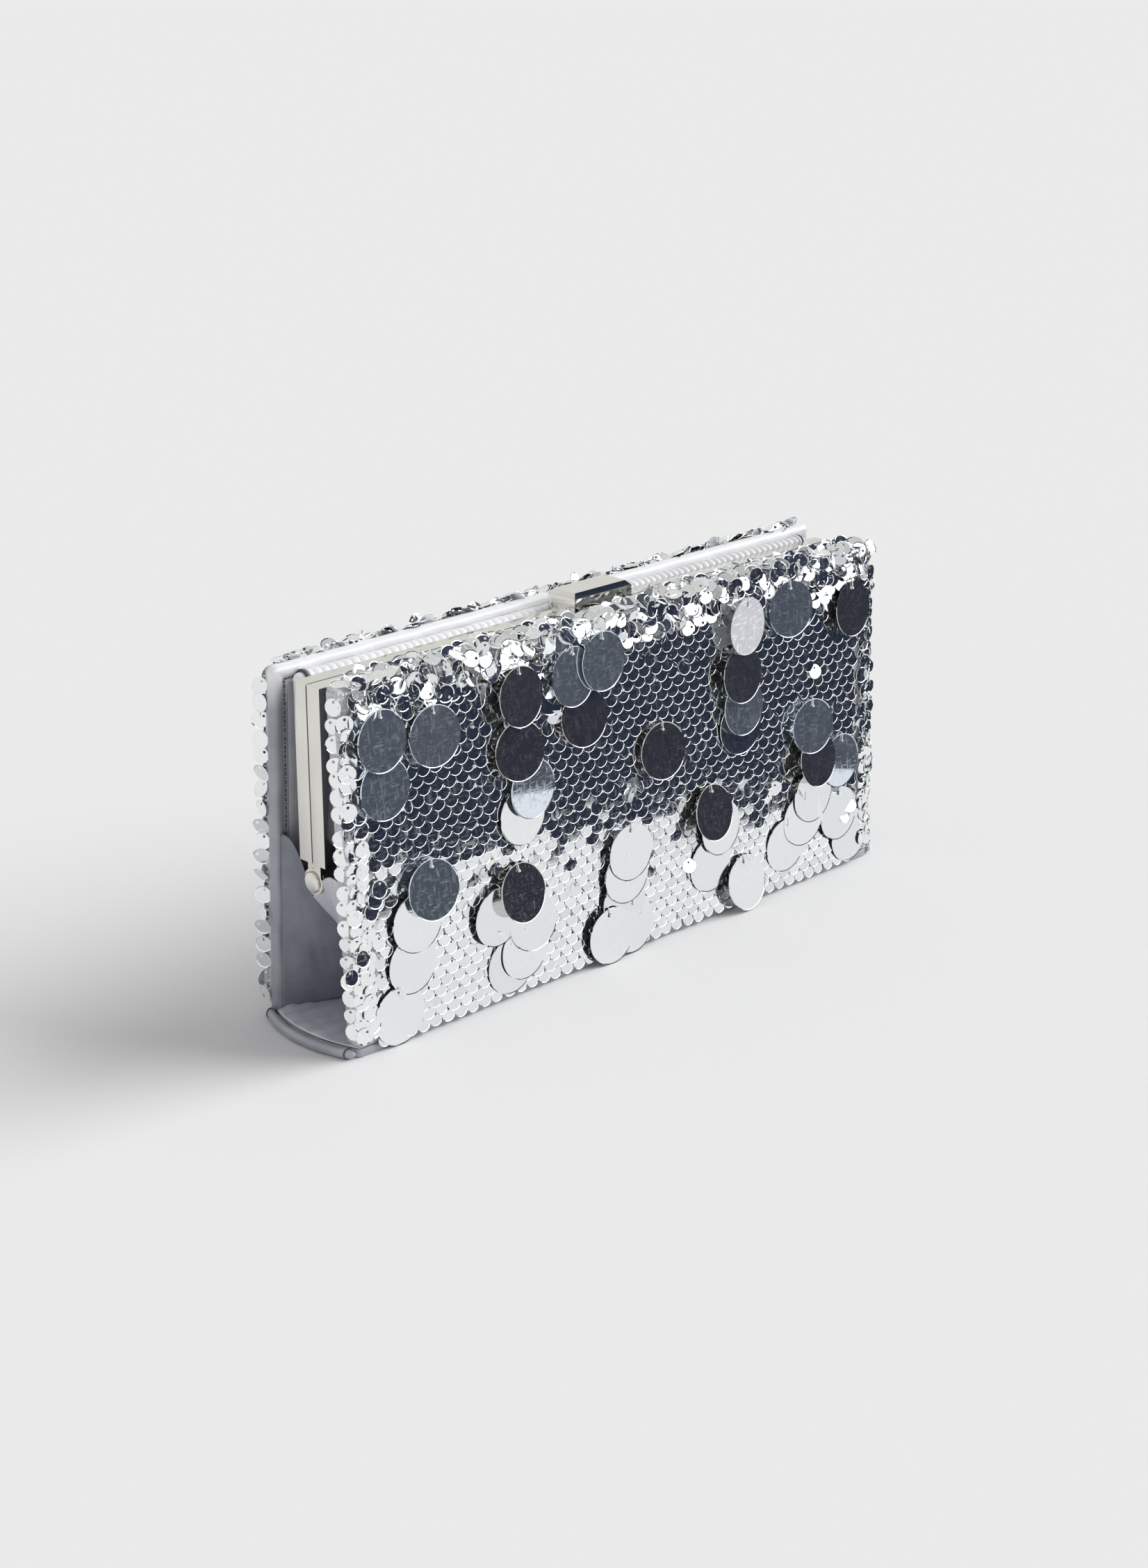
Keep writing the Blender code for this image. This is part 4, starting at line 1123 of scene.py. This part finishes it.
# %% An arch: up one side, over the top and down the other
def arch(half, foot, top, corner, inset, side_steps, arc_steps, top_steps):
    """Points (x, up) along an arch, moved inwards by each inset. Shape: insets x stations x 2."""
    inset = np.asarray(inset, float)[:, None]
    round_off = np.maximum(corner - inset, 0.00005)
    x = -half + inset + round_off
    up = top - inset - round_off
    climb = np.linspace(0, 1, side_steps + 1)[None, :-1]
    turn = np.linspace(np.pi, np.pi / 2, arc_steps + 1)[None, :-1]
    over = np.linspace(0, 1, top_steps // 2 + 1)[None]
    left = [foot + climb * (up - foot), up + round_off * np.sin(turn), up + round_off + 0 * over]
    across = [x - round_off + 0 * climb, x + round_off * np.cos(turn), x * (1 - over)]
    ups, xs = np.concatenate(left, axis=1), np.concatenate(across, axis=1)
    xs = np.concatenate([xs, -xs[:, -2::-1]], axis=1)
    ups = np.concatenate([ups, ups[:, -2::-1]], axis=1)
    return np.stack([xs, ups], axis=2)


def length_along(points):
    """Running length of each row of points."""
    step = np.linalg.norm(np.diff(points, axis=1, prepend=points[:, :1]), axis=2)
    return np.cumsum(step, axis=1)


# %% Binding of the back panel
# Steps up each side, round each corner and along the top.
ARCH_STEPS = (60, 6, 140)
# Inset from the panel's edge and depth behind its sewn face, from under the sequins round to the hem inside.
BINDING_PROFILE = np.array((
    (0.3, 2.1), (0.0, 2.2), (-0.4, 2.5), (-0.75, 3.0), (-0.95, 3.6), (-1.0, 4.2), (-0.85, 4.9), (-0.4, 5.6),
    (0.3, 6.05), (1.1, 6.2), (1.9, 6.15), (2.7, 5.95), (3.25, 5.75), (3.6, 5.6), (3.95, 5.72), (4.5, 5.85),
    (5.2, 5.8), (5.6, 5.65),
)) * MM
STITCH_INSET = 3.6 * MM
GATHER_STEP = 3.1 * MM


path = arch(HALF, 0.0, PANEL_HEIGHT, PANEL_CORNER, BINDING_PROFILE[:, 0], *ARCH_STEPS)
run = length_along(path)
inset, behind = BINDING_PROFILE[:, :1], BINDING_PROFILE[:, 1:]
round_share = np.linspace(0, 1, len(BINDING_PROFILE))[:, None]
pucker = 0.16 * MM * ripples(run, 0.02 * round_share, 31, 7, 0.020) * np.sin(np.pi * round_share) ** 2
near_stitch = np.exp(-((inset - STITCH_INSET) / (0.9 * MM)) ** 2)
pucker = pucker - 0.10 * MM * near_stitch * np.abs(np.sin(np.pi * run / GATHER_STEP))
lift = np.where(inset < 0.5 * MM, pucker, 0)
x, up = path[:, :, 0], path[:, :, 1]
points = on_panel("back", -(x - lift * np.sign(x)), up, -(behind + pucker))
binding = grid_piece("back_binding_satin", points, BINDING_SATIN)
thicken(binding, 0.25 * MM, 1.0)
settle(binding, "back_panel", "back_binding")
print(binding.name, points.shape)

# %% Satin facing inside the binding
# Inset from the panel's edge and depth behind its sewn face: flat, with its inner rim turned down onto the lining.
FACING_PROFILE = np.array(((4.9, 5.70), (5.2, 5.86), (8.0, 5.84), (11.0, 5.82), (15.6, 5.80), (16.0, 5.62))) * MM
path = arch(HALF, 0.0, PANEL_HEIGHT, PANEL_CORNER, FACING_PROFILE[:, 0], *ARCH_STEPS)
points = on_panel("back", -path[:, :, 0], path[:, :, 1], -FACING_PROFILE[:, 1:])
# Painted light: the facing takes the lighter copy of the satin, to offset the shade under the arm.
facing = grid_piece("back_facing_satin", points, PAINTED_LIT_SATIN)
thicken(facing, 0.15 * MM, 1.0)
settle(facing, "back_panel")
print(facing.name, points.shape)

# %% Stitches along the binding, and painted shade at its needle holes
STITCH = 2.9 * MM
line = arch(HALF, 3 * MM, PANEL_HEIGHT, PANEL_CORNER, [STITCH_INSET], 400, 6, 800)[0]
run = length_along(line[None])[0]


def along_line(values, stations):
    """Both columns of values, read off at the given lengths along the stitch line."""
    return np.stack([np.interp(stations, run, values[:, k]) for k in (0, 1)], axis=1)


right_way, slope, outward = panel_axes("back")[1:]
stations = np.arange(STITCH / 2, run[-1], STITCH)
spots = along_line(line, stations)
# Painted shade: a dark ball in each needle hole between the stitches stands for the shade in it.
holes_made = cast(
    "binding_needle_hole_shade", ball_mould(0.34 * MM), on_panel("back", -spots[:, 0], spots[:, 1], -5.90 * MM),
    (right_way[None], slope[None], outward[None]), DARK_THREAD_AND_SHADE,
    np.ones(len(spots)), np.random.default_rng(3).uniform(0.7, 1.1, len(spots)),
)
settle(holes_made, "back_panel")
stations = np.arange(STITCH, run[-1] - STITCH, STITCH)
spots = along_line(line, stations)
heading = along_line(np.gradient(line, run, axis=0), stations)
along_way = unit(-heading[:, :1] * right_way + heading[:, 1:] * slope)
thread_points, thread_loops, thread_sizes = ball_mould(0.30 * MM, 8, 6)
# The ball drawn out to a stitch: about 1.7 mm long, and a little flatter than wide.
stitch_mould = (thread_points * (1.0, 0.9, 2.9), thread_loops, thread_sizes)
thread_made = cast(
    "binding_stitches", stitch_mould, on_panel("back", -spots[:, 0], spots[:, 1], -6.02 * MM),
    (np.cross(outward, along_way), outward, along_way), DARK_THREAD_AND_SHADE, np.ones(len(spots)),
)
thread_made.data.shade_smooth()
settle(thread_made, "back_panel")
print("stitches", len(spots))


# %% [markdown]
# ## Folded sides
# Each end closes with two satin leaves that meet in a crease and fold inwards when the bag shuts. A leaf is held
# along the panel's edge, along the crease and at the floor, and is free at its top. Straight lines from crease to
# edge make the plain surface. A belly and a few folds, fading towards the sewn edges, make it cloth.

# %% Gusset leaves
CREASE_TOP_X = FRAME_END - 1.2 * MM
CREASE_Y = 2.2 * MM
CREASE_FOOT_X = CREASE_TOP_X - 37.0 * MM
CREASE_TOP_Z = RIVET_Z - 5.8 * MM
FLOOR_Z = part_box("base_lining")[1].z
LEAF_TOP_Z = {"front": RIVET_Z + 4.0 * MM, "back": RIVET_Z + 12.0 * MM}
LEAF_RISE = {"front": 4.0 * MM, "back": 6.0 * MM}
LEAF_EDGE_X = HALF - 1.2 * MM
LEAF_BELLY = 0.7 * MM
LEAF_FOLDS = 0.34 * MM


def inner_y(height):
    """Distance of a panel's inner face from the middle plane at a height."""
    return -HINGE[1] - PANEL_THICK / cos(LEAN) - (height - HINGE[2]) * np.tan(LEAN)


def leaf(side, tag, end):
    """Crease line + share * (edge line - crease line), with belly and folds along the surface's normal."""
    way = -1 if side == "front" else 1
    share, climb = np.meshgrid(np.linspace(0, 1, 41), np.linspace(0, 1, 49), indexing="ij")
    foot = FLOOR_Z + 0.45 * MM
    crease = np.stack([
        end * (CREASE_FOOT_X + climb ** 0.9 * (CREASE_TOP_X - CREASE_FOOT_X)), CREASE_Y + way * 0.35 * MM + 0 * climb,
        foot + climb * (CREASE_TOP_Z - foot),
    ], axis=2)
    edge_z = foot + climb * (LEAF_TOP_Z[side] - foot)
    edge = np.stack([end * LEAF_EDGE_X + 0 * climb, way * (inner_y(edge_z) - 0.55 * MM), edge_z], axis=2)
    points = crease + share[..., None] * (edge - crease)
    normal = unit(np.cross(points[-1, 24] - points[0, 24], points[20, -1] - points[20, 0]))
    normal = normal * np.sign(normal[0] * end)
    across = np.sin(np.pi * share)
    held = across ** 0.8 * smoothstep(0, 0.12, climb)
    belly = LEAF_BELLY * across * np.sin(np.pi * np.clip(climb, 0, 0.9))
    folds = LEAF_FOLDS * ripples(share * 1.3 + climb * 0.4, climb * 0.5, 50 + way + 2 * end, 7, 0.55)
    rise = LEAF_RISE[side] * across ** 0.8 * climb ** 5
    points = points + (held * folds + belly)[..., None] * normal + rise[..., None] * np.array((0, 0, 1.0))
    # Painted light and shade: the front leaves take the lighter copy of the satin and the back leaves the darker one.
    finish = PAINTED_LIT_SATIN if side == "front" else PAINTED_SHADE_SATIN
    made = grid_piece("side_fold_%s_%s" % (side, tag), points, finish, flip=(way * end) > 0)
    thicken(made, 0.3 * MM, 0.0)
    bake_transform(made)
    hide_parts("gusset_leaf_%s_%s" % (side, tag))


for side in SIDES:
    for tag, end in ENDS:
        leaf(side, tag, end)


# %% [markdown]
# ## Base, floor and piping
# The base is a board in a satin cover. Its lining lies on top, a little loose, so it wrinkles where the folded
# sides pull at it. A roll of satin with a cord inside, the piping, finishes each end.

# %% Base cover and floor
cover_low, cover_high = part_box("base_cover")
lining_low, lining_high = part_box("base_lining")

END_BULGE = 7.6 * MM
BULGE_SKEW = 1.2 * MM
BULGE_REACH = HALF_DEPTH + 4.0 * MM
# Inset from the cover's edge and height in mm, from the middle underneath round to the top.
COVER_RINGS = (
    (8.0, 0.05), (2.0, 0.0), (0.8, 0.02), (0.25, 0.2), (0.0, 0.7), (0.0, 2.0), (0.1, 2.6), (0.5, 2.95), (2.0, 3.0),
)


def bulged(x, y):
    """The ends of the base are pushed out to a soft curve, fullest a little in front of the middle."""
    middle = np.clip(1 - ((y + BULGE_SKEW) / BULGE_REACH) ** 2, 0, 1)
    return x + np.sign(x) * END_BULGE * middle * smoothstep(HALF - 0.026, HALF - 0.001, np.abs(x))


def base_ring(inset, z):
    """The cover's outline, moved in by inset, at height z."""
    x, y = rounded_ring(cover_high.x, cover_low.y, cover_high.y, 1.2 * MM, inset, 5, 24)
    return np.stack([bulged(x, y), y, z + 0 * x], axis=1)


rings = np.array([base_ring(inset * MM, z * MM) for inset, z in COVER_RINGS])
tray = grid_piece("base_satin_cover", rings, BINDING_SATIN, wrap_columns=True, caps=True)
settle(tray, "base", "base_cover")

x, y = np.meshgrid(np.linspace(lining_low.x, lining_high.x, 241), np.linspace(-1, 1, 61), indexing="ij")
y = y * (lining_high.y - 0.2 * MM)
at_end = smoothstep(0.045, 0.0, lining_high.x - np.abs(x))
wrinkle = ripples(x * 0.6, y * 1.5, 91, 8, 0.030) + 0.6 * ripples(x + y, y - x, 92, 6, 0.011)
loose_height = 0.35 * MM + (0.12 + 0.95 * at_end) * MM * wrinkle
rim = smoothstep(0, 2.5 * MM, lining_high.y - np.abs(y)) * smoothstep(0, 2.5 * MM, lining_high.x - np.abs(x))
z = lining_low.z + 0.30 * MM + rim * np.maximum(loose_height, 0.0)
# Painted light: the floor lining takes the lighter copy of the satin.
bottom = grid_piece("floor_lining", np.stack([bulged(x, y), y, z], axis=2), PAINTED_LIT_SATIN)
thicken(bottom, 0.2 * MM)
settle(bottom, "base", "base_lining")
print("floor lining", x.shape)

# %% Piping across each end
PIPING = 1.7 * MM
PIPING_LIFT = 0.12 * MM
ROUND = np.arange(24) * 2 * np.pi / 24


def round_cord(name, end, along, radius, finish):
    """Rings of the given radius about a line across the base's end that follows its bulge, above the table."""
    x = bulged(end * (HALF - PIPING) + 0 * along, along)[:, None] + radius * np.cos(ROUND)
    z = np.maximum(PIPING + PIPING_LIFT + radius * np.sin(ROUND), 0.02 * MM)
    points = np.stack([x, along[:, None] + 0 * ROUND, z], axis=2)
    return grid_piece(name, points, finish, wrap_columns=True, caps=True, flip=True)


def piping(tag, end):
    """A tube along Y whose radius swells and shrinks a little, tucked in at its ends, with a tie near each."""
    low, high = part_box("base_piping_" + tag)
    along = np.linspace(low.y + 0.1 * MM, high.y - 0.1 * MM, 90)
    swell = 1 + 0.05 * ripples(along, 0 * along, 7 + end, 6, 0.012)
    tuck = np.sqrt(np.clip(1 - (2 * np.abs(along) / (high.y - low.y)) ** 14, 0.02, 1))
    twist = 0.04 * ripples(along[:, None], np.sin(ROUND)[None] * 0.004, 17 + end, 6, 0.010)
    made = round_cord("piping_" + tag, end, along, (PIPING * swell * tuck)[:, None] * (1 + twist), BINDING_SATIN)
    settle(made, "base", "base_piping_" + tag)
    for number, middle in enumerate((low.y + 2.4 * MM, high.y - 2.4 * MM), 1):
        path = np.linspace(middle - 0.25 * MM, middle + 0.25 * MM, 5)
        radius = PIPING * (1.02 + 0.09 * np.sin(np.linspace(0, np.pi, 5)))[:, None]
        tie = round_cord("piping_tie_%s_%d" % (tag, number), end, path, radius, DARK_THREAD_AND_SHADE)
        settle(tie, "base")
    print(made.name)


for tag, end in ENDS:
    piping(tag, end)


# %% [markdown]
# ## Inside the panels
# Each panel's inside is lined. The lining lies flat on the board, with the faint drag lines of cloth that was glued
# at its rim.

# %% Panel linings
LINING_INSET = 1.1 * MM


def lining(side, finish):
    """A sheet just inside the panel's board, with shallow drag lines that fade at the rim."""
    reach = HALF - LINING_INSET
    rise = np.linspace(LINING_INSET, PANEL_HEIGHT - LINING_INSET, 101)
    x, up = np.meshgrid(np.linspace(-reach, reach, 201), rise, indexing="ij")
    edge = np.minimum(np.minimum(x + HALF, HALF - x), np.minimum(up, PANEL_HEIGHT - up)) - LINING_INSET
    drag = 0.10 * MM * ripples(x, up * 0.4, 15, 7, 0.05) * smoothstep(0, 6 * MM, edge)
    points = on_panel(side, x, up, -(PANEL_THICK - 0.15 * MM) - np.abs(drag))
    made = grid_piece(side + "_panel_lining", points, finish)
    thicken(made, 0.2 * MM, 1.0)
    settle(made, side + "_panel", side + "_lining")
    print(made.name)


lining("front", LINING)
# Painted light: the back lining takes the lighter copy of the satin, to offset its shade.
lining("back", PAINTED_LIT_SATIN)


# %% [markdown]
# ## Strips between frame and panels
# Strips of lining beside the arms close the gap between each panel and the channel that grips them. They cross the
# fold between panel and frame.

# %% Side strips
STRIP_GAP = 0.6 * MM
MOUTH = FRAME_END - 9.0 * MM
# Knots of the section: x from the channel's mouth in mm, y as shares of the frame's half depth, extra y in mm,
# and the share of the panel's own y.
STRIP_ROUTE = (
    (1.2, 0.5, 0.0, 0), (-0.4, 0.5, 0.0, 0), (-1.1, 0.75, 0.0, 0), (-1.0, 1.0, 0.5, 0), (-0.4, 0.5, 0.0, 0.5),
    (0.0, 0.0, 0.0, 1),
)


def side_strip(side, tag, end):
    """A sheet from the channel's mouth round the flange to the panel, one rounded cross-section for every height."""
    way = -1 if side == "front" else 1
    node = "%s_side_facing_%s" % (side, tag)
    low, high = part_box(node)
    z = np.linspace(low.z, high.z, 40)
    panel_y = way * (inner_y(z) - STRIP_GAP)
    route = np.array([
        np.stack([
            end * (MOUTH + dx * MM) + 0 * z, way * (FRAME_SIDE * share + dy * MM) + panel_share * panel_y, z,
        ], axis=1)
        for dx, share, dy, panel_share in STRIP_ROUTE
    ])
    knots = np.linspace(0, 1, len(route))
    fine = np.linspace(0, 1, 22)
    points = np.stack([
        np.stack([np.interp(fine, knots, route[:, k, axis]) for axis in range(3)], axis=1) for k in range(len(z))
    ], axis=1)
    points[:, :, 0] += end * 0.25 * MM * ripples(points[:, :, 1], points[:, :, 2], 33 + end + way, 6, 0.02)
    finish = SATIN if side == "back" else LINING
    made = grid_piece("side_strip_%s_%s" % (side, tag), points, finish, flip=(way * end) < 0)
    thicken(made, 0.25 * MM, 0.0)
    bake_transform(made)
    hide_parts(node)
    print(made.name)


for side in SIDES:
    for tag, end in ENDS:
        side_strip(side, tag, end)


# %% [markdown]
# ## Roll behind the frame, sequin strip in front of it
# Behind the frame a soft satin roll fills the valley up to the back panel. It is gathered: every few millimetres the
# cloth is drawn in, more tightly towards the right. In front, a flat strip carries loose sequins.

# %% Satin roll
GATHER = 3.0 * MM
roll_low, roll_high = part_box("back_satin_roll")
middle_y, half_y = (roll_high.y + roll_low.y) / 2, (roll_high.y - roll_low.y) / 2
middle_z, half_z = (roll_high.z + roll_low.z) / 2 + 0.2 * MM, (roll_high.z - roll_low.z) / 2
along = np.linspace(roll_low.x, roll_high.x, 900)[:, None]
angle = (np.arange(28) * 2 * np.pi / 28)[None]
tight = smoothstep(0.010, 0.050, along)
phase = along / GATHER + 0.35 * ripples(along, 0 * along, 3, 5, 0.05) + 0.10 * np.sin(angle)
valley = np.abs(np.sin(np.pi * phase)) ** 0.6
soft = ripples(along, 0.004 * np.cos(angle), 4, 7, 0.018)
radial = 1 + 0.05 * soft + (0.28 + 0.72 * tight) * (0.46 * (valley - 0.78))
radial = radial * np.sqrt(np.clip(1 - (np.abs(along) / roll_high.x) ** 60, 0.05, 1))
y = middle_y + radial * half_y * np.cos(angle)
z = middle_z + radial * half_z * np.sin(angle)
points = np.stack([along + 0 * angle, y, z], axis=2)
roll = grid_piece("gathered_roll", points, PALE_SATIN, wrap_columns=True, caps=True)
settle(roll, "back_frame", "back_satin_roll")
print(roll.name, len(roll.data.polygons))

# %% Cord loops at the roll's ends
def hoop(name, x, radius, thick, finish):
    """A ring round the roll: a small circle of radius thick carried round the roll's own section."""
    turn = (np.arange(40) * 2 * np.pi / 40)[:, None]
    tube = (np.arange(10) * 2 * np.pi / 10)[None]
    reach = radius + thick * np.cos(tube)
    y = middle_y + reach * np.cos(turn) * half_y / half_z
    ring = np.stack([x + thick * np.sin(tube) + 0 * turn, y, middle_z + reach * np.sin(turn)], axis=2)
    made = grid_piece(name, ring, finish, wrap_rows=True, wrap_columns=True, flip=True)
    settle(made, "back_frame")


for tag, end in ENDS:
    hoop("roll_cord_" + tag, end * (roll_high.x - 3.4 * MM), half_z + 0.10 * MM, 0.42 * MM, DARK_THREAD_AND_SHADE)
    hoop("roll_ring_" + tag, end * (roll_high.x - 4.7 * MM), half_z + 0.15 * MM, 0.55 * MM, PALE_SATIN)
print("cord loops at both ends")

# %% Front strip
strip_low, strip_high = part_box("front_top_facing")
x, share = np.meshgrid(np.linspace(strip_low.x, strip_high.x, 260), np.linspace(0, 1, 14), indexing="ij")
y = strip_low.y + share * (strip_high.y - strip_low.y)
sag = -0.25 * MM * np.sin(np.pi * share) + 0.12 * MM * ripples(x, y, 8, 6, 0.02)
strip = grid_piece("front_sequin_strip", np.stack([x, y, strip_high.z - 0.4 * MM + sag], axis=2), GROUND)
thicken(strip, 0.4 * MM)
settle(strip, "front_frame", "front_top_facing")
draw = np.random.default_rng(77)
strip_rows = (strip_low.y + 1.4 * MM, strip_high.y - 1.6 * MM, strip_high.y + 0.6 * MM)
along, across = band(draw, strip_low.x + 3 * MM, strip_high.x - 4 * MM, 5.0 * MM, strip_rows, 0.5 * MM)
places = np.stack([along, across, strip_high.z + draw.uniform(0.5, 1.4, along.shape) * MM], axis=1)
towards, upwards = np.array((0, -0.35, 1.0)), np.array((0, 1.0, 0.3))
loose("front_strip_sequins", "front_frame", places, towards, upwards, 78, (0, 20), (0, 20))
print("front strip done")

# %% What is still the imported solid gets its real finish
LOOKS = {
    "base_board": BOARD, "front_board": BOARD, "back_board": BOARD, "front_foam": FOAM, "back_foam": FOAM,
    "front_frame_cord": CORD, "back_frame_cord": CORD, "lock_spring": STEEL,
}
for node, finish in LOOKS.items():
    slots = frame["nodes"][node].data.materials
    slots.clear()
    slots.append(finish)
print("finishes on", len(LOOKS), "packed solids")
